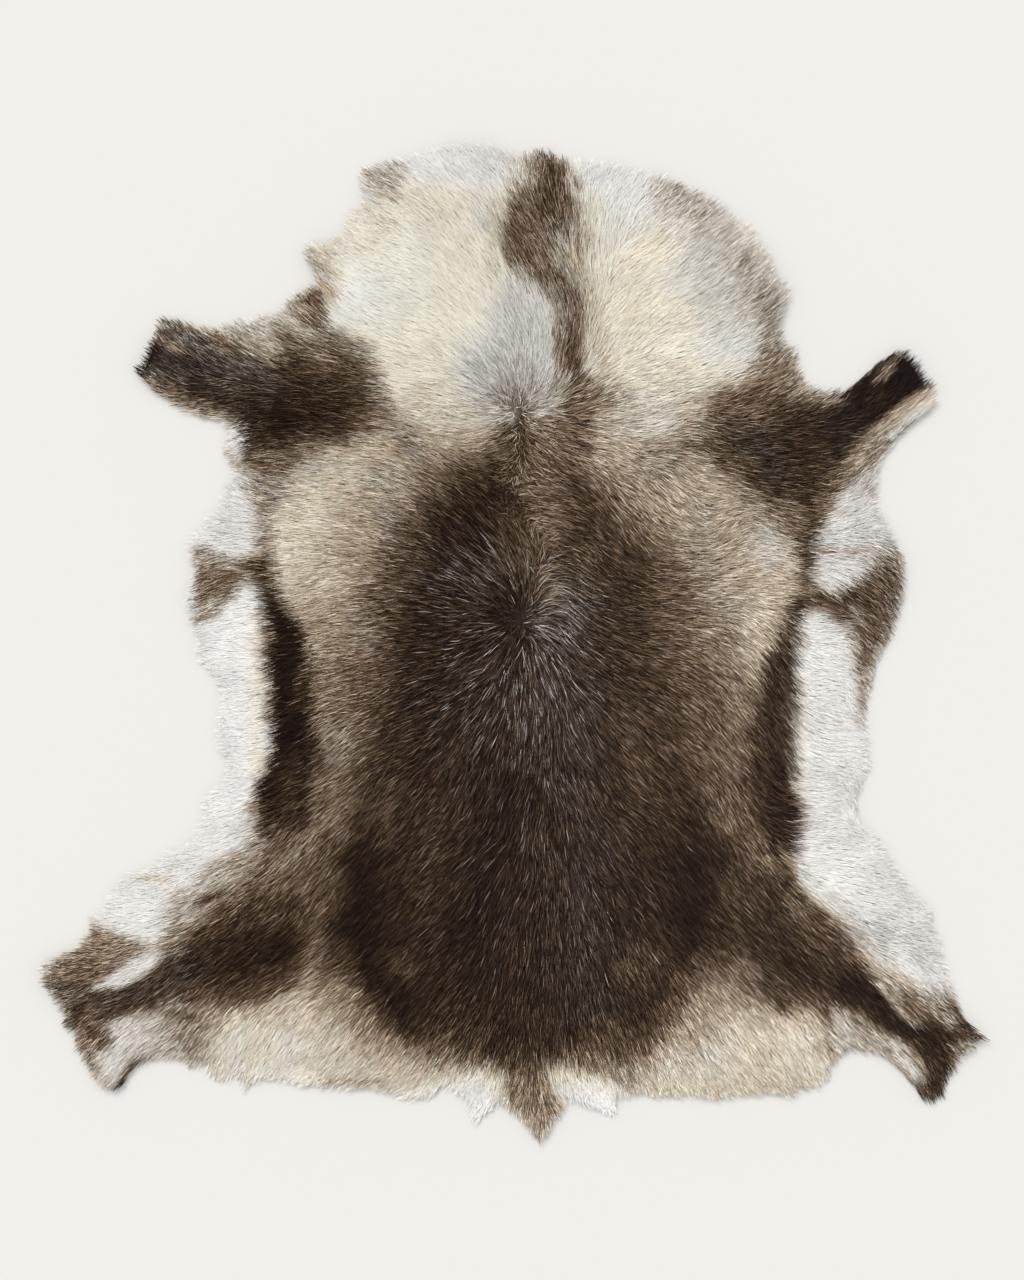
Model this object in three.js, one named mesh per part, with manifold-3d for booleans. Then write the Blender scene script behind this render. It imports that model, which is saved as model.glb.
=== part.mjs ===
import * as THREE from "three";
import { mergeVertices } from "three/addons/utils/BufferGeometryUtils.js";
import Module from "manifold-3d";

// A reindeer hide tanned with its hair on, laid out flat with the hair side up.
// Millimetres: +Z is up, +Y runs towards the neck, +X towards the animal's right side.

// Thickness of leather and combed-down hair together.
const MARGIN_THICK = 4;
const BODY_THICK = 22;
const TAPER = 52;

// Mesh of the top and bottom faces before the outline is cut.
const CELL = 28.7;
const CELLS_X = 42;
const CELLS_Y = 44;

// The margin of the hair all round, clockwise from the top of the neck.
const OUTLINE = [
  // neck, right of the stripe
  [18, 588], [30, 591], [44, 584], [64, 578], [92, 578], [120, 574], [145, 567], [165, 564],
  [178, 559], [194, 551], [212, 543], [226, 538], [238, 530], [252, 523], [260, 509], [278, 503],
  [285, 491], [298, 475], [303, 459], [307, 446], [312, 437], [325, 432], [324, 420], [326, 412],
  [319, 402], [315, 385], [317, 369], [321, 355], [333, 358], [336, 338], [341, 324], [340, 315],
  [355, 307], [374, 300],
  // right foreleg
  [384, 301], [399, 311], [412, 324], [429, 338], [446, 349], [462, 351], [467, 356], [470, 344],
  [478, 340], [484, 329], [490, 317], [500, 309], [497, 299], [505, 293], [498, 279], [484, 267],
  [466, 249], [445, 230], [435, 213],
  // right belly
  [431, 190], [430, 168], [440, 152], [449, 132], [457, 115], [463, 98], [464, 82], [462, 63],
  [457, 41], [450, 15], [437, -8], [428, -30], [422, -55], [416, -82], [417, -100], [421, -128],
  [421, -148], [417, -163], [408, -178], [407, -194], [416, -213], [430, -231], [444, -253],
  [454, -272], [468, -292], [484, -307], [498, -320], [497, -338], [505, -356],
  // right hind leg
  [512, -385], [521, -412], [531, -437], [550, -460], [564, -467], [571, -475], [556, -477],
  [547, -481], [546, -488], [531, -496], [529, -506], [519, -518], [512, -542], [499, -549],
  [487, -551], [478, -546], [469, -529], [452, -511], [434, -495], [416, -489], [400, -488],
  [384, -496], [377, -504],
  // lower edge, right side
  [373, -520], [362, -532], [342, -534], [331, -544], [318, -541], [296, -541], [266, -543],
  [240, -548], [213, -543], [180, -545], [150, -540], [122, -543], [116, -566], [98, -560],
  [76, -551], [60, -546],
  // tail
  [58, -559], [48, -570], [39, -584], [28, -600], [16, -587], [2, -570], [-12, -557], [-22, -549],
  // lower edge, left side
  [-32, -560], [-41, -574], [-49, -583], [-56, -564], [-58, -548], [-72, -538], [-84, -527],
  [-98, -545], [-118, -547], [-138, -545], [-158, -536], [-190, -532], [-226, -533], [-256, -529],
  [-288, -522], [-310, -523], [-321, -531], [-329, -543], [-332, -524], [-341, -515], [-353, -527],
  [-371, -519], [-372, -504], [-394, -507],
  // left hind leg
  [-404, -499], [-424, -498], [-446, -501], [-458, -517], [-469, -533], [-482, -540], [-500, -530],
  [-511, -515], [-519, -499], [-531, -482], [-530, -468], [-545, -458], [-544, -443], [-555, -423],
  [-570, -406], [-571, -386], [-552, -374], [-534, -367], [-517, -354], [-510, -343], [-513, -329],
  [-494, -324], [-491, -306], [-480, -294], [-476, -281],
  // left belly
  [-450, -271], [-428, -260], [-414, -248], [-391, -238], [-378, -222], [-376, -203], [-379, -187],
  [-362, -176], [-349, -162], [-348, -142], [-357, -124], [-360, -97], [-353, -76], [-354, -56],
  [-366, -35], [-384, -18], [-381, 3], [-389, 23], [-392, 38], [-397, 51], [-388, 71], [-387, 94],
  [-394, 112], [-389, 129], [-376, 144], [-359, 157], [-352, 177], [-350, 191], [-336, 204],
  // left foreleg
  [-345, 218], [-351, 233], [-345, 250], [-349, 264], [-374, 268], [-390, 274], [-408, 283],
  [-424, 293], [-446, 309], [-460, 324], [-450, 338], [-443, 354], [-434, 372], [-426, 392],
  [-404, 387], [-382, 379], [-357, 378], [-341, 381], [-336, 387], [-322, 383],
  // neck, left of the stripe
  [-306, 391], [-286, 394], [-278, 409], [-260, 421], [-240, 431], [-246, 446], [-257, 463],
  [-250, 483], [-236, 477], [-220, 482], [-206, 495], [-203, 513], [-188, 521], [-182, 533],
  [-187, 548], [-188, 562], [-180, 571], [-160, 575], [-140, 581], [-115, 589], [-85, 596],
  [-58, 600], [-28, 599], [-14, 590], [2, 583],
];

// Where the hair stands higher or lies lower than on the back: centre, reach in x and y, height.
const RELIEF = [
  { at: [-150, 450], reach: [150, 130], height: 5 }, // long neck hair, left
  { at: [190, 450], reach: [130, 130], height: 5 }, // long neck hair, right
  { at: [30, 490], reach: [45, 90], height: 2.5 }, // dark neck stripe
  { at: [-10, 345], reach: [45, 60], height: 3 }, // ridge over the withers
  { at: [7, 274], reach: [34, 26], height: -8 }, // whorl of the withers
  { at: [0, 34], reach: [30, 26], height: -5 }, // whorl of the back
  { at: [-210, 250], reach: [90, 90], height: 2.5 }, // left shoulder
  { at: [225, 230], reach: [90, 90], height: 2 }, // right shoulder
  { at: [-60, -120], reach: [80, 190], height: 1.5 }, // back, left of the spine
  { at: [70, -150], reach: [80, 190], height: 1.5 }, // back, right of the spine
  { at: [-190, -320], reach: [70, 90], height: 2 }, // left hip
  { at: [210, -320], reach: [70, 90], height: 2 }, // right hip
  { at: [0, -470], reach: [150, 60], height: 2.5 }, // rump
  { at: [-400, 320], reach: [80, 60], height: -9 }, // short hair of the left foreleg
  { at: [440, 290], reach: [70, 60], height: -9 }, // short hair of the right foreleg
  { at: [-470, -430], reach: [90, 80], height: -8 }, // short hair of the left hind leg
  { at: [490, -460], reach: [80, 80], height: -8 }, // short hair of the right hind leg
  { at: [-350, 60], reach: [60, 120], height: -4 }, // thin hair of the left belly
  { at: [390, -90], reach: [50, 170], height: -5 }, // thin hair of the right belly
];

// Shallow valleys in the hair, as lines: points, width and depth.
const VALLEYS = [
  { line: [[150, 84], [240, 92], [345, 88]], width: 15, depth: 3 },
  { line: [[-312, 180], [-300, 60], [-306, -60], [-312, -180]], width: 16, depth: 3 },
  { line: [[346, 160], [350, 60], [336, -40], [334, -190]], width: 16, depth: 3 },
  { line: [[-476, -285], [-440, -282], [-370, -305], [-300, -330]], width: 15, depth: 2.5 },
  { line: [[340, -290], [400, -345], [480, -420]], width: 15, depth: 2.5 },
  { line: [[7, 240], [2, 150], [2, 60]], width: 17, depth: 3 },
  { line: [[0, 0], [3, -160], [6, -330]], width: 15, depth: 1.5 },
];

// Places where the margin curls up from the floor: centre, radius and rise.
const CURLS = [
  { at: [-462, 335], radius: 85, rise: 7 },
  { at: [500, 325], radius: 90, rise: 6 },
  { at: [-590, -395], radius: 95, rise: 8 },
  { at: [590, -480], radius: 90, rise: 8 },
  { at: [-490, -560], radius: 70, rise: 5 },
  { at: [-260, 490], radius: 80, rise: 6 },
  { at: [330, 430], radius: 90, rise: 6 },
  { at: [-60, 630], radius: 95, rise: 5 },
  { at: [-400, 70], radius: 70, rise: 4 },
  { at: [480, 80], radius: 80, rise: 5 },
  { at: [28, -625], radius: 80, rise: 4 },
];

function distanceToSegment(x, y, a, b) {
  const dx = b[0] - a[0];
  const dy = b[1] - a[1];
  const along = ((x - a[0]) * dx + (y - a[1]) * dy) / (dx * dx + dy * dy);
  const t = THREE.MathUtils.clamp(along, 0, 1);
  return Math.hypot(x - a[0] - t * dx, y - a[1] - t * dy);
}

function distanceToLine(x, y, line) {
  let nearest = Infinity;
  for (let i = 0; i + 1 < line.length; i++) {
    nearest = Math.min(nearest, distanceToSegment(x, y, line[i], line[i + 1]));
  }
  return nearest;
}

function insideOutline(x, y) {
  let inside = false;
  OUTLINE.forEach(([x1, y1], i) => {
    const [x2, y2] = OUTLINE[(i + 1) % OUTLINE.length];
    const crosses = y1 > y !== y2 > y;
    if (crosses && x < x1 + ((y - y1) / (y2 - y1)) * (x2 - x1)) inside = !inside;
  });
  return inside;
}

// Leather and hair together: thin at the margin, full thickness some way in.
function thickness(x, y) {
  if (!insideOutline(x, y)) return MARGIN_THICK;
  const inward = distanceToLine(x, y, [...OUTLINE, OUTLINE[0]]);
  let full = BODY_THICK;
  for (const { at, reach, height } of RELIEF) {
    const u = (x - at[0]) / reach[0];
    const v = (y - at[1]) / reach[1];
    full += height * Math.exp(-u * u - v * v);
  }
  for (const { line, width, depth } of VALLEYS) {
    const d = distanceToLine(x, y, line) / width;
    full -= depth * Math.exp(-d * d);
  }
  const taper = THREE.MathUtils.smoothstep(inward, -12, TAPER);
  return MARGIN_THICK + (full - MARGIN_THICK) * taper;
}

// How far the leather's underside stands off the floor.
function lift(x, y) {
  let most = 0;
  for (const { at, radius, rise } of CURLS) {
    const r = Math.hypot(x - at[0], y - at[1]) / radius;
    if (r < 1) most = Math.max(most, rise * (1 - r * r) * (1 - r * r));
  }
  return most;
}

const wasm = await Module();
wasm.setup();

function solidOf(geometry) {
  const plain = geometry.index ? geometry.toNonIndexed() : geometry.clone();
  const bare = new THREE.BufferGeometry();
  bare.setAttribute("position", plain.getAttribute("position"));
  const merged = mergeVertices(bare, 1e-3);
  return new wasm.Manifold(
    new wasm.Mesh({
      numProp: 3,
      vertProperties: merged.attributes.position.array,
      triVerts: new Uint32Array(merged.index.array),
    }),
  );
}

function geometryOf(solid) {
  const mesh = solid.getMesh();
  const geometry = new THREE.BufferGeometry();
  const position = new Float32Array(mesh.numVert * 3);
  for (let i = 0; i < mesh.numVert; i++) {
    position.set(mesh.vertProperties.subarray(i * mesh.numProp, i * mesh.numProp + 3), i * 3);
  }
  geometry.setAttribute("position", new THREE.BufferAttribute(position, 3));
  geometry.setIndex(new THREE.BufferAttribute(new Uint32Array(mesh.triVerts), 1));
  geometry.computeVertexNormals();
  return geometry;
}

// The uneven blanket of hair and leather, wider than the hide on every side.
const blanket = new THREE.BoxGeometry(CELL * CELLS_X, CELL * CELLS_Y, 2, CELLS_X, CELLS_Y, 1);
const points = blanket.getAttribute("position");
for (let i = 0; i < points.count; i++) {
  const x = points.getX(i) + 0.37;
  const y = points.getY(i) + 0.43;
  const top = points.getZ(i) > 0;
  points.setXYZ(i, x, y, top ? lift(x, y) + thickness(x, y) : lift(x, y));
}

// The outline as an upright prism, which cuts the blanket to the shape of the hide.
const shape = new THREE.Shape(OUTLINE.map(([x, y]) => new THREE.Vector2(x, y)));
const prism = new THREE.ExtrudeGeometry(shape, { depth: 120, bevelEnabled: false });
prism.translate(0, 0, -40);

const hide = new THREE.Mesh(
  geometryOf(solidOf(blanket).intersect(solidOf(prism))),
  new THREE.MeshStandardMaterial({ color: 0x6f5f4e, roughness: 0.95, metalness: 0 }),
);
hide.name = "hide";

const group = new THREE.Group();
group.name = "reindeer_hide";
group.add(hide);

export default group;
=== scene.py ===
# A tanned reindeer hide, laid out flat with the hair side up: a thin leather skin, a felted
# underfur, and the long flat-lying hair that gives the hide its colours. Units are metres.
import math

import bmesh
import bpy
import numpy as np
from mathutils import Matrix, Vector
from mathutils.bvhtree import BVHTree


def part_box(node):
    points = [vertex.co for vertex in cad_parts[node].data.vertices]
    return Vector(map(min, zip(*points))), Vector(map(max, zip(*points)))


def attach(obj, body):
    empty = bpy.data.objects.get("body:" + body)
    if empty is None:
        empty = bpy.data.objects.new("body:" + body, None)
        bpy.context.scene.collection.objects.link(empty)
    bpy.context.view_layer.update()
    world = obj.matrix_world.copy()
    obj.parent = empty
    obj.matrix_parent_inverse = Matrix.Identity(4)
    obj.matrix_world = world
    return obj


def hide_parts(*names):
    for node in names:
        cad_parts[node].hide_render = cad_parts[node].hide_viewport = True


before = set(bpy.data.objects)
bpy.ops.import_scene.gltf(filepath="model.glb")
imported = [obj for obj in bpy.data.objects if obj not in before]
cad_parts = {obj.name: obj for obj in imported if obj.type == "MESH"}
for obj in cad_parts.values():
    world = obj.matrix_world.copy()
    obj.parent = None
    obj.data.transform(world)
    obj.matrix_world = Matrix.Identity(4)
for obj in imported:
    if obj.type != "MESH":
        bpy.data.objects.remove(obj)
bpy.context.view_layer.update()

# ---------------------------------------------------------------------------------------------
# The lie of the hide. The frame's solid says how far the hair reaches: a fine grid over it holds
# the height of its two faces and the distance to its edge, and every piece below reads that grid.
MM = 0.001
GRID_STEP = 4 * MM
BORDER = 24 * MM  # the grid runs this far past the solid on each side
SPREAD_CELLS = 12  # and heights are carried this many cells past the edge
JOIN_WITHIN = 0.01 * MM
FACES_UP = 0.35  # a triangle whose normal points up more than this is on the hair side
hide_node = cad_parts["hide"]
hide_low, hide_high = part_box("hide")


def merged_copy(node):
    """A bmesh of a frame node with its loose triangles joined; the node itself isn't touched."""
    copy = bmesh.new()
    copy.from_mesh(node.data)
    bmesh.ops.remove_doubles(copy, verts=copy.verts, dist=JOIN_WITHIN)
    copy.normal_update()
    return copy


solid = merged_copy(hide_node)
tree = BVHTree.FromBMesh(solid)
edge_segments = np.array([
    [e.verts[0].co[:2], e.verts[1].co[:2]] for e in solid.edges
    if len(e.link_faces) == 2 and
    sorted(f.normal.z > FACES_UP for f in e.link_faces) == [False, True]
])
solid.free()

grid_x = np.arange(hide_low.x - BORDER, hide_high.x + BORDER, GRID_STEP)
grid_y = np.arange(hide_low.y - BORDER, hide_high.y + BORDER, GRID_STEP)
top_face = np.full((len(grid_y), len(grid_x)), np.nan)
under_face = top_face.copy()
for row, y in enumerate(grid_y):
    for column, x in enumerate(grid_x):
        hit = tree.ray_cast(Vector((x, y, 1)), Vector((0, 0, -1)))[0]
        if hit is not None:
            top_face[row, column] = hit.z
            under_face[row, column] = tree.ray_cast(Vector((x, y, -1)), Vector((0, 0, 1)))[0].z
on_hide = ~np.isnan(top_face)


def spread_out(heights):
    """Fills the cells past the edge from their neighbours, so that a hair tip finds a height there."""
    filled = heights.copy()
    for _ in range(SPREAD_CELLS):
        empty = np.isnan(filled)
        padded = np.pad(filled, 1, constant_values=np.nan)
        near = np.stack([padded[1:-1, :-2], padded[1:-1, 2:], padded[:-2, 1:-1], padded[2:, 1:-1]])
        known = ~np.isnan(near)
        mean = np.where(known, near, 0).sum(0) / np.maximum(known.sum(0), 1)
        filled[empty & known.any(0)] = mean[empty & known.any(0)]
    return np.nan_to_num(filled)


top_face = spread_out(top_face)
under_face = spread_out(under_face)
mesh_x, mesh_y = np.meshgrid(grid_x, grid_y)


def distance_to_line(x, y, points, closed=False):
    """Distance from every x, y to a line of straight pieces through the points."""
    nearest = np.full(x.shape, np.inf)
    ends = points[1:] + (points[:1] if closed else [])
    for (ax, ay), (bx, by) in zip(points, ends):
        length2 = max((bx - ax) ** 2 + (by - ay) ** 2, 1e-12)
        t = np.clip(((x - ax) * (bx - ax) + (y - ay) * (by - ay)) / length2, 0, 1)
        nearest = np.minimum(nearest, (x - ax - t * (bx - ax)) ** 2 + (y - ay - t * (by - ay)) ** 2)
    return np.sqrt(nearest)


nearest_edge = np.full(mesh_x.shape, np.inf)
for (ax, ay), (bx, by) in edge_segments:
    nearest_edge = np.minimum(nearest_edge, distance_to_line(mesh_x, mesh_y, [(ax, ay), (bx, by)]))
past_edge = np.where(on_hide, -nearest_edge, nearest_edge)  # negative inside the outline


def at(grid, x, y):
    """The grid's value at each x, y, blended between its four nearest cells."""
    u = np.clip((x - grid_x[0]) / GRID_STEP, 0, len(grid_x) - 1.001)
    v = np.clip((y - grid_y[0]) / GRID_STEP, 0, len(grid_y) - 1.001)
    i, j = u.astype(int), v.astype(int)
    s, t = u - i, v - j
    if grid.ndim == 3:
        s, t = s[..., None], t[..., None]
    low = grid[j, i] * (1 - s) + grid[j, i + 1] * s
    high = grid[j + 1, i] * (1 - s) + grid[j + 1, i + 1] * s
    return low * (1 - t) + high * t


# ---------------------------------------------------------------------------------------------
# The coat's colours. A reindeer's hair is dark on the saddle and shoulders, sandy on the flanks and
# white on the belly and neck; each coat below is one shade of hair, with how mixed its hairs are.
COATS = {
    "snow": ("dfddd8", 0.02), "chalk": ("d6d5cf", 0.03), "pearl": ("c9c7c2", 0.06),
    "cloud": ("b5b3ae", 0.10), "lilac": ("ccc8c1", 0.06), "dove": ("c2bcb2", 0.11),
    "cream": ("e5dfcf", 0.03), "butter": ("dbd0ba", 0.05), "oat": ("d3c7ae", 0.07),
    "straw": ("c8bca4", 0.11), "husk": ("beb39e", 0.11), "sand": ("b8a68a", 0.15),
    "mist": ("b7ada0", 0.16),
    "taupe": ("a69a8a", 0.19), "buff": ("a6937a", 0.19), "fawn": ("97846b", 0.21),
    "ash": ("8c8070", 0.25), "hazel": ("806f5a", 0.24), "bark": ("6c5a47", 0.26),
    "smoke": ("61584f", 0.30), "umber": ("574637", 0.28), "cocoa": ("46382b", 0.30),
    "slate": ("3e3631", 0.30), "sable": ("382a1f", 0.30), "peat": ("291c11", 0.26),
    "soot": ("211915", 0.24), "silver": ("6b6661", 0.40),
}

# Soft patches, laid one over the other in this order, in millimetres from the middle of the hide.
# Each is a coat, how soft its edge is, half the stroke's width (0 fills the outline), and its points.
PATCHES = [
    # neck
    ("cream", 40, 0, [(-320, 640), (360, 640), (360, 240), (-320, 240)]),
    ("chalk", 14, 0, [(-137, 620), (-137, 566), (-100, 563), (-95, 551), (-50, 545), (-14, 548),
        (12, 620)]),
    ("snow", 24, 14, [(-110, 574), (-60, 562)]),
    ("pearl", 22, 11, [(-52, 592), (-20, 584)]),
    ("mist", 14, 0, [(-192, 558), (-188, 576), (-140, 584), (-136, 552), (-145, 537), (-165, 534),
        (-186, 545)]),
    ("ash", 18, 9, [(-176, 560), (-156, 556)]),
    ("taupe", 16, 6, [(-154, 552), (-150, 532)]),
    ("oat", 36, 16, [(-120, 528), (-85, 524)]),
    ("butter", 50, 22, [(-60, 470), (-60, 440)]),
    ("lilac", 22, 7, [(-45, 515), (-40, 500)]),
    ("snow", 46, 24, [(-200, 418), (-180, 402)]),
    ("butter", 60, 24, [(-150, 342), (-100, 338)]),
    ("straw", 36, 12, [(-110, 276), (-60, 282)]),
    ("straw", 14, 0, [(-262, 462), (-250, 484), (-236, 480), (-222, 466), (-225, 440), (-235, 430),
        (-247, 444)]),
    ("taupe", 14, 7, [(-252, 468), (-238, 446), (-232, 428)]),
    ("sand", 20, 8, [(-228, 470), (-206, 504), (-172, 538)]),
    ("hazel", 13, 0, [(-286, 406), (-262, 424), (-240, 436), (-228, 426), (-226, 400), (-230, 380),
        (-250, 392),
                      (-262, 398)]),
    ("umber", 12, 6, [(-252, 412), (-238, 418), (-236, 404)]),
    ("bark", 18, 8, [(-272, 396), (-244, 394)]),
    ("mist", 24, 12, [(-305, 384), (-275, 388)]),
    # pale neck, right side
    ("chalk", 30, 0, [(66, 620), (195, 600), (176, 540), (168, 486), (118, 462), (96, 480), (84, 520),
        (68, 545)]),
    ("lilac", 50, 26, [(205, 445), (240, 430)]),
    ("taupe", 26, 17, [(182, 545), (216, 523), (245, 495), (271, 461), (291, 434), (299, 400)]),
    ("mist", 40, 22, [(204, 520), (236, 488), (262, 448), (276, 408), (282, 384)]),
    ("ash", 24, 8, [(205, 540), (232, 522)]),
    ("ash", 26, 9, [(291, 427), (303, 394)]),
    ("oat", 34, 14, [(180, 392), (205, 388)]),
    ("butter", 60, 26, [(140, 320), (136, 450)]),
    ("straw", 44, 16, [(130, 306), (170, 300)]),
    ("dove", 46, 18, [(180, 276), (215, 278)]),
    ("pearl", 40, 16, [(250, 366), (272, 350)]),
    ("ash", 18, 0, [(284, 352), (298, 386), (318, 402), (326, 362), (340, 362), (346, 326),
        (356, 304), (330, 298),
                    (300, 305), (286, 328)]),
    ("hazel", 20, 8, [(308, 316), (334, 322)]),
    # ridge of the neck, and the dark stripe beside it
    ("lilac", 26, 0, [(-10, 438), (24, 424), (46, 396), (46, 350), (58, 312), (50, 280), (35, 262),
        (10, 262),
                     (-22, 272), (-62, 290), (-72, 320), (-50, 360), (-26, 400)]),
    ("lilac", 26, 8, [(-52, 312), (-34, 334)]),
    ("ash", 28, 11, [(-14, 290), (24, 286)]),
    ("bark", 22, 8, [(-24, 246), (-6, 254), (30, 252)]),
    ("umber", 20, 8, [(-18, 250), (-14, 230)]),
    ("straw", 16, 8, [(-28, 452), (-32, 490), (-27, 524), (0, 548)]),
    ("oat", 22, 9, [(88, 525), (88, 490), (76, 455), (90, 400)]),
    ("bark", 16, 0, [(30, 620), (60, 620), (64, 560), (67, 540), (70, 520), (66, 505), (48, 490),
        (42, 474), (58, 452),
                     (70, 430), (78, 402), (80, 370), (82, 345), (90, 320), (104, 306), (74, 298),
        (62, 312),
                     (50, 325), (46, 345), (48, 370), (52, 390), (42, 412), (26, 430), (8, 446),
        (-9, 456),
                     (-17, 474), (-16, 492), (-11, 512), (-4, 532), (10, 548), (20, 575)]),
    ("cocoa", 22, 9, [(42, 600), (44, 562), (36, 530)]),
    ("cocoa", 20, 9, [(4, 494), (12, 472)]),
    ("umber", 18, 7, [(62, 432), (72, 410), (70, 375)]),
    ("bark", 12, 6, [(-10, 478), (-8, 456)]),
    ("hazel", 18, 10, [(14, 478), (46, 446), (66, 420), (65, 388)]),
    ("hazel", 18, 7, [(66, 512), (74, 490), (68, 470)]),
    ("sand", 24, 8, [(92, 396), (95, 350), (106, 322)]),
    ("ash", 22, 8, [(10, 584), (14, 556)]),
    ("ash", 20, 8, [(46, 488), (50, 474)]),
    ("bark", 24, 0, [(52, 304), (84, 314), (104, 302), (100, 284), (98, 262), (98, 236), (60, 232),
        (40, 246)]),
    ("fawn", 20, 6, [(98, 300), (120, 298)]),
    ("fawn", 26, 10, [(104, 284), (108, 250)]),
    ("taupe", 24, 9, [(132, 290), (136, 264)]),
    # left shoulder and foreleg
    ("cocoa", 24, 0, [(-300, 372), (-274, 376), (-255, 364), (-235, 370), (-220, 366), (-200, 356),
        (-186, 340),
                      (-178, 322), (-169, 300), (-160, 280), (-164, 262), (-182, 250), (-205, 240),
        (-230, 232),
                      (-262, 216), (-330, 208), (-340, 258), (-330, 330)]),
    ("ash", 16, 7, [(-250, 372), (-216, 363), (-190, 348), (-170, 316), (-160, 296)]),
    ("hazel", 20, 9, [(-258, 350), (-220, 354)]),
    ("umber", 26, 12, [(-245, 335), (-256, 322)]),
    ("hazel", 22, 8, [(-282, 366), (-258, 372)]),
    ("cocoa", 18, 8, [(-276, 364), (-274, 320), (-278, 292)]),
    ("sable", 36, 14, [(-262, 282), (-230, 272)]),
    ("bark", 26, 10, [(-178, 262), (-196, 256), (-170, 282)]),
    ("ash", 30, 16, [(-330, 364), (-300, 352)]),
    ("taupe", 22, 10, [(-352, 374), (-318, 380)]),
    ("cocoa", 26, 12, [(-322, 232), (-262, 224)]),
    ("smoke", 14, 0, [(-476, 322), (-430, 398), (-345, 356), (-318, 345), (-296, 330), (-300, 262),
        (-345, 258),
                      (-450, 300)]),
    ("slate", 20, 13, [(-440, 346), (-400, 335), (-350, 325), (-300, 304)]),
    ("soot", 16, 8, [(-456, 326), (-442, 346), (-430, 362)]),
    ("cocoa", 20, 8, [(-420, 304), (-360, 292), (-320, 290)]),
    ("hazel", 13, 5, [(-446, 312), (-400, 286), (-345, 266)]),
    ("peat", 24, 13, [(-316, 274), (-284, 268)]),
    ("chalk", 10, 8, [(-364, 264), (-350, 234)]),
    ("sand", 8, 4, [(-420, 282), (-360, 264)]),
    # left flank
    ("fawn", 34, 0, [(-320, 172), (-262, 178), (-205, 198), (-150, 232), (-60, 240), (-96, 176),
        (-136, 90), (-156, 0), (-170, -100), (-196, -200),
                     (-262, -250), (-250, -50), (-255, 20), (-280, 70), (-300, 150)]),
    ("buff", 40, 14, [(-150, 238), (-100, 240)]),
    ("straw", 50, 26, [(-250, 166), (-255, 120), (-250, 90)]),
    ("sand", 44, 14, [(-205, 196), (-195, 180), (-215, 110), (-235, 60)]),
    ("oat", 30, 8, [(-276, 160), (-270, 120)]),
    ("straw", 30, 10, [(-206, 202), (-150, 198), (-134, 182)]),
    ("oat", 36, 10, [(-246, 196), (-238, 150)]),
    ("straw", 30, 9, [(-100, 244), (-66, 236)]),
    ("hazel", 20, 7, [(-306, 212), (-268, 220), (-242, 236)]),
    ("mist", 18, 8, [(-252, 210), (-226, 218)]),
    ("sand", 20, 8, [(-204, 224), (-170, 232)]),
    ("ash", 24, 9, [(-302, 212), (-292, 180)]),
    ("ash", 22, 7, [(-150, 264), (-126, 244)]),
    ("hazel", 34, 8, [(-60, 224), (-112, 182), (-152, 118), (-172, 50), (-192, -6)]),
    ("umber", 34, 9, [(-78, 210), (-132, 118), (-152, 50), (-158, 10)]),
    ("bark", 40, 15, [(-224, -38), (-222, -90), (-228, -150), (-222, -205)]),
    ("umber", 34, 12, [(-178, -34), (-184, -90), (-180, -140)]),
    ("umber", 26, 7, [(-236, -130), (-238, -200)]),
    ("ash", 26, 7, [(-224, -112), (-206, -128)]),
    ("fawn", 34, 10, [(-222, 24), (-228, 4)]),
    # left belly, with its brown spot and the dark stripe above it
    ("chalk", 20, 0, [(-470, 214), (-330, 214), (-312, 200), (-311, 112), (-322, 92), (-420, 120)]),
    ("pearl", 26, 10, [(-350, 140), (-322, 128)]),
    ("fawn", 16, 7, [(-320, 206), (-307, 178), (-304, 140)]),
    ("mist", 16, 5, [(-330, 204), (-314, 194)]),
    ("snow", 16, 0, [(-440, 30), (-378, 40), (-350, 52), (-320, 78), (-304, 66), (-305, 26),
        (-298, 6), (-302, -60),
                     (-302, -140), (-314, -176), (-326, -214), (-318, -240), (-420, -262),
        (-520, -262)]),
    ("bark", 15, 0, [(-405, 116), (-372, 110), (-355, 101), (-335, 99), (-315, 105), (-298, 112),
        (-298, 74),
                     (-315, 82), (-330, 83), (-340, 68), (-350, 50), (-366, 33), (-396, 22),
        (-410, 60)]),
    ("ash", 16, 6, [(-378, 106), (-360, 96)]),
    ("taupe", 12, 5, [(-388, 34), (-366, 48), (-350, 62)]),
    ("chalk", 12, 7, [(-404, 110), (-401, 56)]),
    ("ash", 13, 4, [(-330, 80), (-314, 74)]),
    ("butter", 14, 5, [(-312, 30), (-312, -40), (-313, -150)]),
    ("lilac", 26, 9, [(-345, -226), (-320, -220)]),
    ("ash", 13, 4, [(-303, 200), (-302, 150), (-302, 112)]),
    ("peat", 14, 0, [(-306, 104), (-316, 88), (-309, 50), (-305, 28), (-297, 8), (-301, -30),
        (-296, -80), (-297, -128),
                     (-311, -168), (-314, -200), (-300, -222), (-256, -230), (-250, -212),
        (-246, -180), (-246, -130),
                     (-247, -80), (-248, -30), (-260, 12), (-273, 32), (-284, 54), (-297, 90),
        (-296, 108)]),
    ("umber", 16, 6, [(-300, 100), (-300, 66), (-292, 48)]),
    ("umber", 26, 10, [(-270, -192), (-284, -212)]),
    # left groin and hind leg
    ("chalk", 20, 0, [(-330, -244), (-520, -262), (-530, -330), (-470, -356), (-440, -366),
        (-410, -332), (-394, -300),
                      (-396, -262)]),
    ("snow", 26, 14, [(-430, -256), (-370, -250)]),
    ("taupe", 20, 0, [(-396, -268), (-332, -262), (-308, -238), (-296, -300), (-350, -312),
        (-392, -334), (-432, -336),
                      (-410, -300)]),
    ("dove", 20, 7, [(-412, -300), (-388, -286)]),
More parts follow.
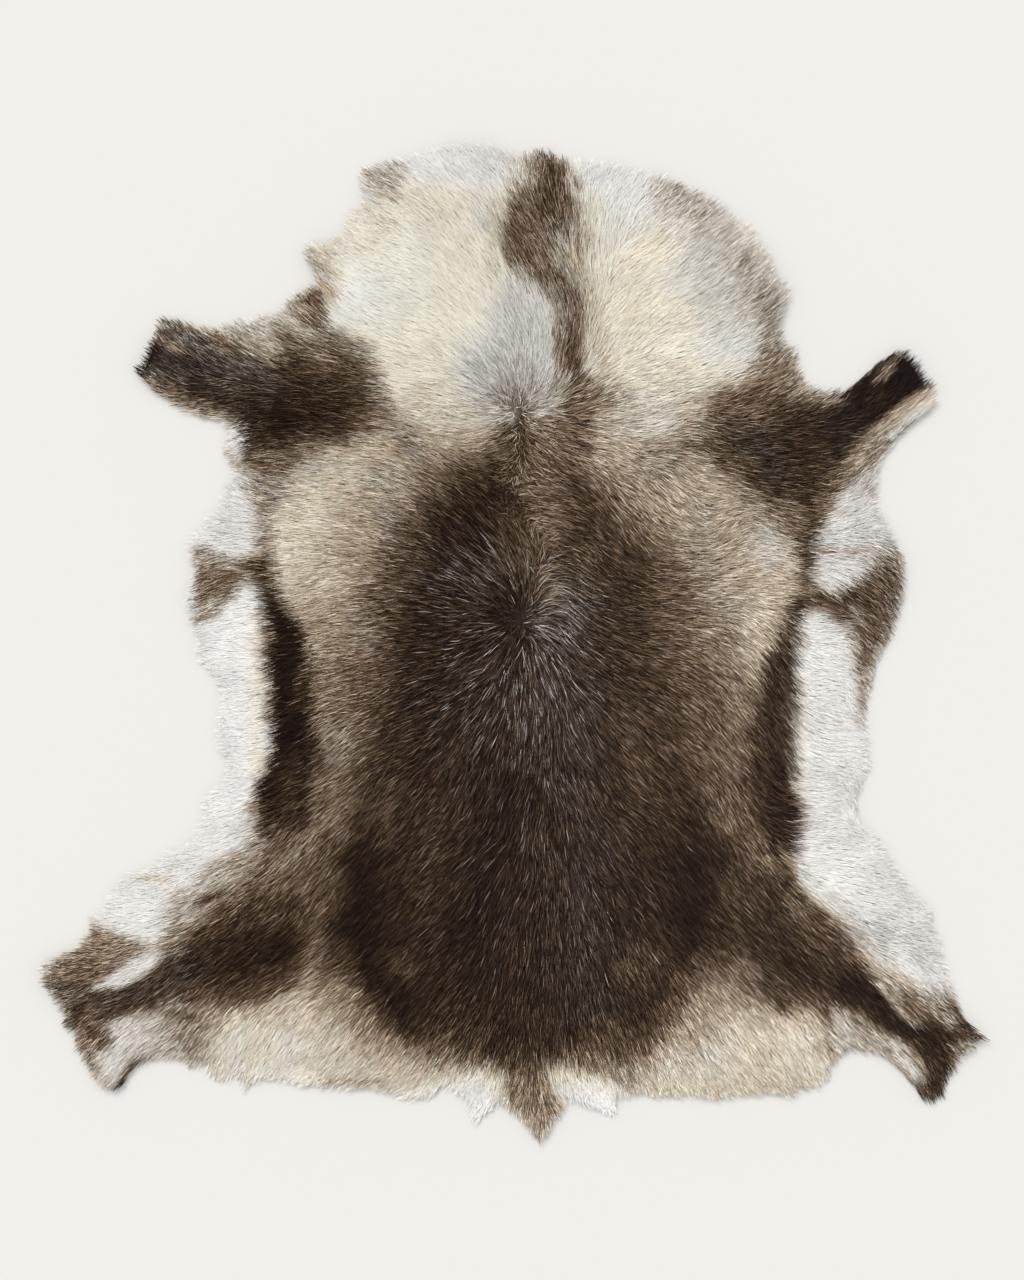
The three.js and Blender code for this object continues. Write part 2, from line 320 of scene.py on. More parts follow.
    ("sand", 5, 2, [(-456, -284), (-440, -280), (-415, -288)]),
    ("hazel", 18, 0, [(-520, -322), (-492, -344), (-452, -362), (-448, -384), (-490, -404),
        (-530, -414), (-580, -400),
                      (-575, -380), (-532, -358)]),
    ("dove", 16, 6, [(-512, -330), (-496, -342)]),
    ("bark", 20, 8, [(-528, -392), (-508, -394)]),
    ("ash", 20, 9, [(-552, -378), (-534, -372)]),
    # left hip, and the dark band that runs into the leg
    ("bark", 28, 0, [(-304, -244), (-236, -232), (-210, -260), (-206, -340), (-240, -350),
        (-300, -318), (-350, -318),
                     (-400, -340), (-330, -290)]),
    ("umber", 20, 0, [(-318, -312), (-236, -290), (-200, -330), (-206, -404), (-248, -404),
        (-300, -430), (-350, -434),
                      (-400, -440), (-450, -446), (-492, -458), (-530, -474), (-500, -520),
        (-535, -520), (-560, -460),
                      (-580, -410), (-520, -404), (-470, -404), (-420, -364), (-386, -336),
        (-350, -314)]),
    ("umber", 9, 5, [(-402, -326), (-380, -311), (-358, -300)]),
    ("hazel", 18, 5, [(-392, -338), (-372, -324)]),
    ("cocoa", 28, 13, [(-330, -332), (-285, -316), (-245, -330)]),
    ("hazel", 30, 12, [(-310, -250), (-230, -240)]),
    ("sable", 26, 13, [(-400, -384), (-360, -362), (-320, -352)]),
    ("peat", 30, 17, [(-345, -386), (-300, -374), (-268, -362)]),
    ("slate", 24, 10, [(-490, -428), (-440, -414), (-400, -396)]),
    ("hazel", 26, 8, [(-238, -334), (-242, -396)]),
    ("lilac", 11, 0, [(-514, -416), (-494, -400), (-468, -386), (-434, -367), (-424, -378),
                      (-446, -400), (-478, -414)]),
    ("cloud", 13, 6, [(-572, -392), (-560, -386)]),
    ("smoke", 18, 9, [(-556, -412), (-540, -428)]),
    ("soot", 12, 7, [(-548, -448), (-534, -444)]),
    ("hazel", 20, 9, [(-516, -462), (-508, -494)]),
    # pale patch under the left leg, and the grizzled edge beside it
    ("taupe", 24, 0, [(-448, -446), (-398, -440), (-368, -436), (-366, -500), (-380, -530),
        (-430, -520), (-452, -500)]),
    ("ash", 26, 12, [(-412, -450), (-386, -458)]),
    ("mist", 14, 0, [(-496, -458), (-470, -448), (-440, -448), (-418, -494), (-448, -500),
        (-468, -520), (-492, -540),
                     (-508, -524), (-500, -490)]),
    ("lilac", 22, 9, [(-466, -466), (-488, -502)]),
    ("taupe", 10, 6, [(-458, -502), (-472, -524)]),
    ("soot", 8, 5, [(-450, -502), (-462, -520), (-481, -539)]),
    # saddle: it fades slowly into the flanks, and ends more sharply over the rump
    ("hazel", 60, 0, [(-30, 246), (-80, 226), (-120, 190), (-150, 130), (-172, 50), (-184, 0),
        (-186, -60), (-196, -120),
                      (-214, -190), (-226, -240), (270, -240), (256, -100), (240, -50), (228, 0),
        (238, 50), (222, 98),
                      (190, 124), (150, 156), (110, 200), (80, 232), (20, 250)]),
    ("sable", 58, 0, [(-34, 212), (-62, 194), (-88, 174), (-108, 150), (-128, 110), (-142, 70),
        (-154, 40), (-160, 0),
                      (-162, -50), (-170, -100), (-182, -150), (-196, -200), (-214, -250),
        (250, -250), (232, -180),
                      (206, -110), (180, -50), (164, 0), (166, 50), (176, 90), (160, 116), (140, 140),
        (112, 172),
                      (84, 206), (60, 214), (20, 226)]),
    ("sable", 28, 0, [(-226, -232), (-228, -390), (-198, -404), (-184, -430), (-166, -450),
        (-150, -470), (-130, -488),
                      (-100, -500), (-60, -506), (-20, -508), (40, -508), (90, -512), (120, -516),
        (140, -500),
                      (165, -480), (186, -460), (200, -436), (206, -415), (216, -396), (240, -376),
        (262, -300),
                      (272, -232)]),
    ("sand", 26, 9, [(-104, 240), (-62, 242)]),
    ("sable", 44, 18, [(-62, 158), (-90, 120)]),
    ("umber", 40, 10, [(-138, 104), (-162, 40), (-168, -20), (-176, -80)]),
    ("cocoa", 40, 12, [(-60, 196), (-84, 176)]),
    ("cocoa", 50, 16, [(-148, -128), (-168, -190)]),
    ("cocoa", 60, 16, [(-100, -190), (-96, -290)]),
    ("sable", 40, 20, [(-6, -30), (16, -90), (30, -150)]),
    ("peat", 50, 16, [(-14, -190), (-40, -250), (-60, -350)]),
    ("peat", 40, 20, [(-212, -250), (-196, -300), (-188, -375)]),
    ("peat", 36, 14, [(-160, -430), (-140, -446)]),
    ("umber", 26, 6, [(-146, -380), (-132, -392)]),
    ("cocoa", 46, 14, [(-100, -462), (-60, -470)]),
    ("bark", 50, 22, [(14, 214), (46, 176), (46, 140), (30, 108)]),
    ("hazel", 36, 11, [(20, 196), (36, 160), (30, 128)]),
    ("cocoa", 40, 14, [(92, 130), (102, 96)]),
    ("umber", 40, 14, [(104, 188), (130, 140), (140, 116)]),
    ("cocoa", 60, 30, [(110, 30), (150, -10), (150, -70)]),
    ("umber", 50, 18, [(176, 70), (184, 20), (196, -60), (206, -130)]),
    ("umber", 50, 12, [(136, -100), (156, -190)]),
    ("bark", 40, 13, [(210, 74), (208, 10), (226, -36), (244, -90), (254, -140)]),
    ("umber", 40, 15, [(240, -170), (262, -200), (284, -240)]),
    ("bark", 26, 7, [(262, -196), (284, -238), (304, -262)]),
    ("slate", 34, 8, [(46, 66), (58, 36), (56, 4)]),
    ("umber", 36, 9, [(30, 66), (40, 100)]),
    ("slate", 50, 16, [(60, -80), (76, -220), (80, -360), (84, -430)]),
    ("peat", 44, 22, [(218, -270), (216, -320), (222, -360)]),
    ("cocoa", 34, 10, [(140, -392), (168, -376)]),
    ("cocoa", 40, 12, [(265, -268), (255, -300)]),
    ("umber", 24, 7, [(86, -494), (122, -504), (172, -470)]),
    ("hazel", 24, 7, [(64, -502), (110, -500), (144, -490)]),
    ("cocoa", 22, 4, [(5, 282), (6, 250), (8, 222)]),
    # right flank
    ("buff", 34, 0, [(78, 234), (110, 200), (150, 154), (190, 122), (220, 100), (234, 70), (240, 40),
        (228, 0),
                     (246, -50), (262, -96), (288, -66), (303, -5), (318, 22), (330, 50), (352, 66),
        (350, 130),
                     (300, 174), (268, 216), (205, 244), (130, 244)]),
    ("ash", 40, 10, [(146, 206), (172, 216), (210, 230)]),
    ("ash", 34, 12, [(184, 214), (230, 206), (268, 184), (298, 164)]),
    ("hazel", 28, 9, [(222, 220), (250, 206), (276, 184)]),
    ("hazel", 40, 9, [(134, 170), (160, 144), (202, 116)]),
    ("sand", 50, 20, [(232, 198), (246, 168)]),
    ("sand", 50, 20, [(310, 80), (290, 30), (284, -16)]),
    ("straw", 30, 8, [(330, 82), (290, 30)]),
    ("dove", 32, 15, [(300, 122), (306, 108)]),
    ("buff", 20, 8, [(320, 76), (312, 52)]),
    ("ash", 26, 7, [(318, 146), (332, 130)]),
    ("bark", 36, 11, [(228, -8), (246, -64), (258, -110)]),
    ("umber", 36, 11, [(220, -50), (234, -120)]),
    # right shoulder and foreleg
    ("cocoa", 24, 0, [(200, 246), (212, 266), (228, 286), (256, 300), (290, 308), (320, 304),
        (350, 298), (384, 300),
                      (404, 318), (404, 190), (382, 168), (367, 150), (360, 128), (345, 118),
        (334, 140), (320, 155),
                      (300, 170), (274, 180), (264, 196), (264, 214), (240, 220), (205, 234)]),
    ("fawn", 28, 11, [(206, 258), (226, 284), (256, 302), (296, 308)]),
    ("hazel", 36, 15, [(220, 256), (252, 282), (300, 290)]),
    ("umber", 32, 12, [(266, 278), (290, 290)]),
    ("slate", 44, 18, [(290, 250), (300, 216)]),
    ("sable", 44, 20, [(350, 254), (366, 230)]),
    ("bark", 26, 8, [(316, 162), (338, 144)]),
    ("hazel", 20, 8, [(340, 302), (390, 296)]),
    ("ash", 14, 6, [(366, 294), (384, 292)]),
    ("pearl", 14, 0, [(520, 300), (498, 296), (470, 286), (450, 270), (431, 255), (420, 240),
        (404, 222), (390, 200),
                      (377, 180), (430, 180), (520, 260)]),
    ("cloud", 24, 8, [(398, 176), (420, 200)]),
    ("soot", 14, 0, [(380, 302), (404, 322), (430, 346), (448, 362), (480, 366), (500, 330),
        (506, 308), (486, 302),
                     (468, 292), (452, 280), (440, 268), (426, 256), (408, 238), (390, 210),
        (376, 190)]),
    ("slate", 26, 10, [(404, 262), (392, 232)]),
    ("sable", 30, 12, [(420, 292), (436, 300)]),
    ("smoke", 12, 5, [(396, 308), (430, 340), (452, 360)]),
    ("buff", 12, 8, [(498, 300), (470, 285), (448, 266), (434, 250), (414, 226), (394, 200),
        (382, 180)]),
    ("hazel", 14, 7, [(418, 244), (402, 226), (386, 204), (374, 178), (362, 158)]),
    ("smoke", 6, 3, [(500, 276), (474, 260), (458, 249), (434, 229), (410, 206), (390, 186)]),
    # right belly
    ("pearl", 16, 0, [(384, 182), (430, 184), (500, 180), (486, 112), (456, 108), (440, 96),
        (420, 80), (400, 67),
                      (385, 60), (365, 64), (357, 80), (359, 130), (368, 150)]),
    ("taupe", 20, 6, [(416, 196), (424, 180)]),
    ("cloud", 34, 13, [(378, 112), (440, 128)]),
    ("cloud", 20, 6, [(420, 124), (446, 120)]),
    ("snow", 20, 0, [(343, 36), (366, 34), (382, 26), (394, 14), (400, -8), (405, -36), (408, -60),
        (412, -94),
                     (480, -160), (520, -340), (525, -430), (480, -412), (440, -377), (400, -342),
        (370, -317),
                     (345, -297), (330, -266), (328, -230), (340, -222), (335, -180), (332, -150),
        (338, -100),
                     (337, -50), (335, 0)]),
    ("chalk", 50, 34, [(380, 0), (380, -120), (400, -230), (460, -330)]),
    ("pearl", 44, 22, [(476, -390), (490, -362), (450, -290)]),
    # painted shade of a small fold in the right belly
    ("cloud", 14, 6, [(409, -168), (405, -190), (410, -214), (405, -236)]),
    ("mist", 11, 4, [(394, -340), (420, -348), (450, -350)]),
    ("umber", 13, 0, [(348, 70), (365, 57), (385, 52), (400, 60), (420, 79), (440, 96), (456, 112),
        (500, 90), (470, 0),
                      (440, -60), (424, -92), (413, -90), (411, -60), (410, -35), (409, -20),
        (408, -5), (407, 10),
                      (400, 24), (386, 33), (368, 41), (345, 42)]),
    ("ash", 13, 4, [(390, 28), (403, 10), (408, -30)]),
    ("cocoa", 22, 8, [(410, 46), (388, 40)]),
    ("smoke", 26, 11, [(444, 84), (448, 40), (436, 10)]),
    ("taupe", 14, 6, [(438, 14), (428, -26), (420, -62)]),
    ("mist", 13, 6, [(420, -84), (412, -96)]),
    ("ash", 13, 4, [(430, 92), (448, 100)]),
    ("umber", 10, 8, [(356, 156), (350, 128), (349, 104), (346, 70)]),
    ("straw", 12, 4, [(343, 20), (340, -50), (341, -100), (336, -150), (340, -186), (346, -212)]),
    ("sable", 16, 0, [(350, 62), (345, 45), (341, 20), (336, -50), (334, -100), (330, -140),
        (334, -180), (350, -196),
                      (346, -215), (340, -240), (334, -262), (346, -296), (310, -262), (300, -240),
        (288, -200),
                      (284, -150), (288, -100), (288, -60), (294, -30), (308, -2), (321, 20),
        (334, 50)]),
    ("umber", 26, 8, [(284, -50), (276, -140), (280, -220)]),
    ("sable", 14, 5, [(285, -104), (285, -160)]),
    ("umber", 14, 4, [(342, 50), (332, 30), (324, 8)]),
    # right hind leg, with the dark band that runs into it
    ("cocoa", 20, 0, [(296, -252), (330, -270), (350, -298), (372, -318), (400, -344), (440, -382),
        (480, -414),
                      (530, -414), (560, -440), (600, -480), (560, -520), (520, -580), (470, -560),
        (440, -508),
                      (436, -480), (412, -452), (370, -436), (330, -432), (296, -434), (240, -400),
        (225, -360),
                      (250, -300)]),
    ("hazel", 18, 9, [(342, -290), (370, -322), (402, -354), (440, -394)]),
    ("mist", 16, 7, [(398, -350), (430, -380), (452, -400)]),
    ("taupe", 16, 8, [(412, -374), (436, -402), (454, -424)]),
    ("umber", 26, 10, [(346, -342), (382, -366), (404, -384)]),
    ("sable", 30, 14, [(300, -356), (356, -400), (400, -412)]),
    ("peat", 26, 13, [(400, -410), (440, -436), (480, -464), (510, -478)]),
    ("ash", 14, 5, [(446, -400), (476, -424), (514, -428)]),
    ("mist", 14, 6, [(498, -420), (530, -424)]),
    ("mist", 8, 3, [(446, -404), (466, -428), (484, -456)]),
    ("ash", 16, 8, [(470, -420), (498, -440), (520, -456)]),
    ("ash", 14, 6, [(524, -490), (540, -484)]),
    ("taupe", 16, 0, [(404, -448), (430, -462), (462, -480), (486, -496), (494, -520), (476, -526),
        (450, -508),
                      (430, -494), (404, -492)]),
    ("lilac", 16, 8, [(444, -486), (466, -504), (484, -522)]),
    ("hazel", 13, 5, [(472, -494), (484, -506)]),
    ("hazel", 10, 5, [(436, -500), (466, -530), (490, -548)]),
    ("sable", 24, 10, [(508, -508), (504, -534)]),
    # pale hair between the legs and the rump
    ("husk", 30, 0, [(-372, -462), (-350, -452), (-300, -440), (-250, -416), (-206, -420),
        (-176, -454), (-146, -490),
                      (-116, -500), (-100, -600), (-400, -600), (-366, -500)]),
    ("sand", 18, 7, [(-340, -464), (-290, -448), (-236, -434)]),
    ("fawn", 22, 8, [(-206, -428), (-180, -460), (-152, -488)]),
    ("fawn", 22, 5, [(-262, -402), (-222, -412), (-196, -436)]),
    ("straw", 40, 16, [(-330, -486), (-250, -500)]),
    ("lilac", 26, 9, [(-272, -448), (-280, -512)]),
    ("lilac", 20, 6, [(-334, -472), (-338, -520)]),
    ("fawn", 30, 12, [(-226, -424), (-182, -472)]),
    ("fawn", 13, 4, [(-230, -528), (-165, -530)]),
    ("straw", 12, 5, [(-310, -530), (-240, -534), (-130, -544)]),
    ("sand", 26, 7, [(-156, -500), (-110, -516)]),
    ("husk", 30, 0, [(222, -430), (248, -412), (290, -440), (330, -444), (372, -444), (380, -500),
        (400, -600),
                      (130, -600), (134, -520), (170, -494), (196, -474), (212, -450)]),
    ("fawn", 30, 12, [(226, -424), (196, -462), (158, -496)]),
    ("hazel", 32, 11, [(250, -392), (266, -424)]),
    ("fawn", 26, 7, [(232, -420), (280, -436)]),
    ("buff", 26, 8, [(300, -446), (350, -448)]),
    ("mist", 34, 14, [(260, -470), (200, -504)]),
    ("sand", 20, 6, [(150, -534), (250, -536), (350, -532)]),
    ("straw", 40, 14, [(344, -492), (290, -510)]),
    ("cloud", 10, 0, [(369, -444), (396, -440), (403, -462), (400, -488), (380, -494), (372, -474)]),
    ("fawn", 14, 6, [(408, -446), (420, -468)]),
    ("taupe", 14, 4, [(380, -452), (384, -480)]),
    # rump and tail
    ("straw", 20, 0, [(-104, -506), (-60, -510), (-20, -512), (36, -510), (90, -514), (122, -520),
        (150, -560),
                      (130, -600), (-130, -600)]),
    ("snow", 22, 0, [(-110, -540), (-60, -524), (-22, -528), (-26, -610), (-120, -620)]),
    ("snow", 24, 0, [(52, -536), (84, -534), (118, -536), (140, -600), (60, -600)]),
    ("hazel", 13, 0, [(-20, -500), (-16, -530), (-16, -552), (-2, -572), (24, -612), (44, -590),
        (60, -566), (48, -545),
                     (40, -532), (33, -515), (36, -500)]),
    ("mist", 12, 4, [(-18, -530), (-16, -552), (-4, -572)]),
    ("buff", 12, 5, [(46, -548), (56, -566), (46, -576)]),
    ("bark", 16, 6, [(12, -512), (22, -544)]),
    ("cocoa", 26, 8, [(4, -490), (20, -500)]),
    ("hazel", 24, 7, [(-116, -492), (-54, -498)]),
    ("taupe", 12, 5, [(2, -556), (20, -592), (44, -584)]),
    # smaller changes of shade: neck
    ("umber", 10, 6, [(-14, 468), (-8, 454)]),
    ("bark", 10, 5, [(66, 560), (74, 548)]),
    ("straw", 24, 10, [(-196, 476), (-158, 504)]),
    ("sand", 12, 5, [(-222, 448), (-212, 436)]),
    ("pearl", 26, 11, [(-110, 566), (-30, 568)]),
    ("taupe", 10, 5, [(-4, 566), (-6, 550)]),
    ("hazel", 12, 7, [(20, 270), (38, 256)]),
    ("ash", 12, 5, [(44, 318), (52, 300)]),
    ("umber", 14, 7, [(74, 240), (86, 230)]),
    ("cocoa", 14, 6, [(-22, 244), (-14, 232)]),
    ("straw", 26, 9, [(170, 330), (240, 320)]),
    ("taupe", 12, 5, [(108, 300), (104, 310)]),
    ("butter", 20, 10, [(160, 478), (168, 468)]),
    ("mist", 16, 7, [(272, 446), (280, 430)]),
    ("bark", 16, 7, [(308, 344), (318, 334)]),
    ("hazel", 14, 6, [(48, 592), (52, 578)]),
    ("ash", 12, 7, [(48, 462), (62, 442), (70, 428)]),
    ("sand", 11, 4, [(80, 440), (90, 414)]),
    ("ash", 12, 5, [(46, 426), (58, 390), (56, 364)]),
    ("dove", 14, 6, [(-186, 552), (-182, 536)]),
    ("straw", 10, 5, [(-226, 420), (-226, 402)]),
    ("dove", 14, 7, [(232, 530), (246, 516)]),
    ("dove", 14, 5, [(304, 446), (318, 400), (320, 380)]),
    ("chalk", 26, 10, [(-62, 338), (-40, 350)]),
    ("sand", 20, 9, [(206, 290), (212, 258)]),
    ("oat", 18, 9, [(158, 482), (170, 466)]),
    ("ash", 14, 6, [(272, 462), (278, 436)]),
    ("ash", 12, 6, [(308, 420), (314, 404)]),
    ("pearl", 14, 7, [(78, 568), (110, 566)]),
    ("umber", 8, 4, [(58, 496), (62, 486)]),
    ("ash", 12, 5, [(16, 322), (26, 306)]),
    ("bark", 12, 6, [(18, 272), (44, 246)]),
    ("taupe", 12, 6, [(46, 466), (62, 446), (78, 430)]),
    ("straw", 11, 4, [(84, 436), (94, 412)]),
    ("taupe", 10, 5, [(58, 320), (60, 298)]),
    ("cream", 20, 9, [(108, 500), (124, 484)]),
    ("lilac", 14, 7, [(-186, 552), (-180, 536)]),
    ("straw", 18, 8, [(192, 296), (212, 284)]),
    ("taupe", 12, 6, [(342, 326), (350, 310)]),
    ("buff", 10, 5, [(-236, 430), (-222, 420)]),
    ("taupe", 10, 5, [(-248, 464), (-236, 454)]),
    ("taupe", 14, 6, [(0, 446), (10, 430)]),
    ("hazel", 12, 6, [(100, 302), (110, 290)]),
    ("umber", 14, 6, [(68, 268), (84, 260)]),
    ("lilac", 12, 7, [(14, 344), (16, 326)]),
    ("sand", 10, 5, [(64, 470), (76, 458)]),
    ("hazel", 18, 9, [(6, 516), (26, 492)]),
    ("ash", 12, 6, [(24, 440), (40, 424)]),
    ("snow", 26, 9, [(-62, 340), (-34, 356)]),
    ("chalk", 16, 8, [(10, 352), (20, 330)]),
    ("dove", 40, 10, [(222, 450), (236, 380)]),
    ("oat", 30, 8, [(140, 440), (136, 350)]),
    ("mist", 14, 6, [(206, 548), (250, 500)]),
    ("mist", 12, 6, [(304, 456), (318, 430)]),
    ("taupe", 12, 6, [(322, 404), (328, 376)]),
    ("mist", 14, 6, [(-46, 292), (-36, 268)]),
    ("umber", 14, 6, [(-24, 244), (-10, 230)]),
    ("bark", 14, 6, [(306, 330), (330, 318)]),
    # smaller changes of shade: left shoulder, flank and belly
    ("bark", 12, 6, [(-262, 388), (-246, 382)]),
    ("cocoa", 16, 8, [(-384, 316), (-362, 300)]),
    ("hazel", 16, 7, [(-302, 366), (-296, 340)]),
    ("chalk", 11, 9, [(-344, 252), (-338, 222)]),
    ("fawn", 20, 8, [(-132, 240), (-116, 228)]),
    ("sand", 24, 8, [(-150, 276), (-112, 290)]),
    ("sand", 20, 8, [(-226, 222), (-196, 218)]),
    ("ash", 18, 7, [(-312, 216), (-300, 190)]),
    ("ash", 20, 7, [(-172, 196), (-146, 192)]),
    ("ash", 22, 8, [(-158, 156), (-146, 140)]),
    ("umber", 30, 9, [(-16, 150), (-14, 104)]),
    ("sand", 16, 6, [(-288, 140), (-286, 118)]),
    ("sand", 14, 6, [(-280, 72), (-272, 58)]),
    ("chalk", 10, 11, [(-400, 112), (-398, 40)]),
    ("taupe", 10, 5, [(-372, 100), (-340, 92)]),
    ("bark", 12, 6, [(-362, 70), (-350, 60)]),
    ("umber", 10, 4, [(-304, 34), (-303, -10)]),
    ("ash", 10, 5, [(-312, 122), (-306, 108)]),
    ("chalk", 8, 5, [(-303, -98), (-303, -130)]),
    ("butter", 7, 3, [(-302, -134), (-304, -156)]),
    ("sable", 16, 9, [(-306, -222), (-282, -236)]),
    ("pearl", 12, 6, [(-338, -240), (-324, -252)]),
    ("sand", 12, 6, [(-206, 372), (-182, 358)]),
    ("bark", 14, 7, [(-168, 318), (-156, 276)]),
    ("ash", 14, 6, [(-136, 244), (-122, 226)]),
    ("taupe", 14, 8, [(-304, 370), (-290, 350)]),
    ("umber", 10, 5, [(-262, 388), (-240, 380)]),
    ("bark", 14, 8, [(-318, 216), (-290, 210)]),
    ("straw", 16, 8, [(-238, 218), (-204, 212)]),
    ("sand", 16, 7, [(-178, 232), (-160, 224)]),
    ("taupe", 18, 7, [(-160, 154), (-146, 142)]),
    ("cocoa", 24, 8, [(-134, 140), (-128, 100)]),
    ("bark", 8, 4, [(-309, 124), (-304, 110)]),
    ("straw", 16, 7, [(-288, 144), (-284, 112)]),
    ("straw", 14, 5, [(-282, 76), (-272, 54)]),
    ("hazel", 18, 7, [(-222, -222), (-210, -240)]),
    ("umber", 22, 7, [(-238, -316), (-232, -350)]),
    ("ash", 12, 6, [(-206, 362), (-184, 346)]),
    ("bark", 20, 9, [(-216, 336), (-196, 318)]),
    ("hazel", 18, 8, [(-256, 350), (-232, 342)]),
    ("slate", 14, 8, [(-390, 312), (-356, 294)]),
    ("sand", 12, 5, [(-170, 336), (-160, 314)]),
    ("mist", 12, 6, [(-352, 384), (-326, 382)]),
    ("bark", 12, 6, [(-362, 366), (-342, 354)]),
    ("smoke", 16, 7, [(-344, 338), (-328, 322)]),
    ("sable", 14, 7, [(-394, 304), (-352, 288)]),
    ("slate", 12, 6, [(-396, 344), (-376, 330)]),
    ("hazel", 14, 6, [(-170, 268), (-150, 262)]),
    ("ash", 14, 6, [(-136, 244), (-118, 230)]),
    ("bark", 14, 6, [(-216, 250), (-202, 240)]),
    ("ash", 18, 7, [(-330, 186), (-300, 176)]),
    ("buff", 24, 9, [(-204, 140), (-190, 120)]),
    ("oat", 22, 8, [(-284, 140), (-276, 92)]),
    ("ash", 20, 7, [(-188, 36), (-178, 6)]),
    ("umber", 12, 4, [(-262, -30), (-260, -80)]),
    ("sable", 10, 5, [(-292, -40), (-292, -80)]),
    ("cocoa", 26, 12, [(-272, -150), (-270, -206)]),
    ("chalk", 12, 6, [(-343, 196), (-336, 172)]),
    ("hazel", 12, 5, [(-424, 362), (-404, 350)]),
    ("umber", 26, 9, [(-162, -176), (-162, -204)]),
    ("umber", 14, 6, [(-250, -214), (-240, -230)]),
    # smaller changes of shade: right shoulder, flank and belly
    ("taupe", 12, 6, [(380, 294), (392, 288)]),
    ("ash", 14, 6, [(330, 166), (340, 150)]),
    ("hazel", 20, 8, [(248, 212), (272, 204)]),
    ("ash", 18, 8, [(276, 164), (286, 156)]),
    ("ash", 18, 8, [(158, 206), (172, 200)]),
    ("ash", 36, 13, [(246, 60), (266, 10), (262, -20)]),
    ("cocoa", 26, 9, [(178, -60), (190, -90)]),
    ("sable", 14, 6, [(290, -70), (286, -100), (286, -180)]),
    ("mist", 12, 5, [(396, 106), (440, 116)]),
    ("hazel", 14, 7, [(440, 60), (432, 10)]),
    ("mist", 10, 4, [(408, 40), (410, 24)]),
    ("mist", 10, 4, [(432, -40), (424, -70)]),
    ("smoke", 16, 9, [(26, 32), (28, 12)]),
    ("umber", 20, 8, [(40, 80), (48, 52)]),
    ("bark", 16, 6, [(36, 86), (46, 56)]),
    ("umber", 20, 8, [(92, 96), (98, 72)]),
    ("sand", 16, 6, [(130, 216), (148, 204)]),
    ("hazel", 20, 8, [(160, 200), (176, 190)]),
    ("ash", 36, 10, [(220, 150), (232, 90)]),
    ("hazel", 18, 7, [(266, 212), (284, 160)]),
    ("bark", 30, 10, [(250, 276), (290, 282)]),
    ("umber", 16, 7, [(360, 236), (372, 216)]),
    ("ash", 12, 6, [(440, 250), (424, 224)]),
    ("cocoa", 9, 6, [(336, 6), (334, -60), (331, -110), (332, -160)]),
    ("cocoa", 14, 7, [(264, 210), (284, 196)]),
    ("hazel", 10, 5, [(438, 320), (454, 340)]),
    ("umber", 16, 7, [(14, 192), (34, 186)]),
    ("ash", 10, 4, [(458, 110), (463, 60), (448, 10)]),
    ("oat", 8, 4, [(488, 284), (500, 294)]),
    ("peat", 20, 8, [(50, -226), (56, -256)]),
    ("pearl", 46, 12, [(366, -10), (366, -110), (392, -220)]),
    ("bark", 18, 8, [(10, 190), (40, 180)]),
    ("hazel", 18, 6, [(84, 204), (98, 196)]),
    ("bark", 18, 6, [(124, 164), (140, 150)]),
    ("ash", 16, 6, [(160, 206), (176, 198)]),
    ("umber", 16, 8, [(248, 214), (278, 208)]),
    ("ash", 12, 6, [(222, 268), (222, 252)]),
    ("slate", 10, 5, [(398, 318), (420, 338)]),
    ("soot", 10, 6, [(392, 314), (414, 334)]),
    ("hazel", 10, 6, [(438, 242), (424, 216)]),
    ("hazel", 14, 6, [(322, -250), (334, -272)]),
    ("bark", 10, 8, [(390, 200), (377, 174), (366, 150)]),
    ("umber", 13, 8, [(362, 142), (348, 122), (344, 102)]),
    ("cocoa", 9, 6, [(358, 134), (353, 116), (352, 100)]),
    ("mist", 14, 5, [(382, 158), (410, 150)]),
    ("taupe", 12, 4, [(366, 110), (430, 108)]),
    ("umber", 12, 7, [(440, 70), (437, 30), (432, 4)]),
    ("sable", 10, 5, [(339, 44), (333, 20)]),
    ("umber", 10, 4, [(380, 38), (402, 26)]),
    ("chalk", 8, 4, [(342, -12), (340, -40)]),
    ("bark", 22, 8, [(252, 0), (258, -50)]),
    ("pearl", 20, 9, [(352, -100), (356, -150)]),
    ("pearl", 20, 9, [(360, -220), (376, -260)]),
    ("sable", 20, 9, [(82, -160), (84, -200)]),
    ("sable", 24, 12, [(30, -226), (60, -226)]),
    # smaller changes of shade: hind legs and lower edge
    ("bark", 14, 7, [(-550, -388), (-512, -386)]),
    ("umber", 14, 9, [(-506, -466), (-492, -480)]),
    ("bark", 10, 6, [(-462, -506), (-468, -524)]),
    ("bark", 16, 8, [(-398, -450), (-380, -460)]),
    ("hazel", 12, 6, [(-554, -430), (-542, -444)]),
    ("hazel", 14, 6, [(-406, -304), (-400, -330)]),
    ("hazel", 24, 5, [(-224, -260), (-222, -310)]),
    ("hazel", 20, 7, [(-224, -416), (-186, -444), (-162, -482)]),
    ("oat", 14, 6, [(-310, -524), (-240, -528)]),
    ("cream", 14, 6, [(-140, -542), (-90, -536), (-44, -518)]),
    ("umber", 12, 6, [(-16, -506), (0, -512)]),
    ("hazel", 10, 5, [(4, -552), (14, -564)]),
    ("sand", 8, 5, [(40, -594), (52, -574)]),
    ("hazel", 14, 9, [(108, -512), (132, -518)]),
    ("cocoa", 24, 9, [(198, -424), (168, -462), (132, -498)]),
    ("ash", 28, 10, [(228, -400), (214, -436)]),
    ("fawn", 20, 8, [(300, -436), (350, -440), (376, -464), (372, -486)]),
    ("hazel", 16, 6, [(280, -388), (284, -410)]),
    ("straw", 12, 7, [(344, -282), (360, -300), (384, -320)]),
    ("sand", 12, 6, [(414, -372), (446, -394), (486, -416)]),
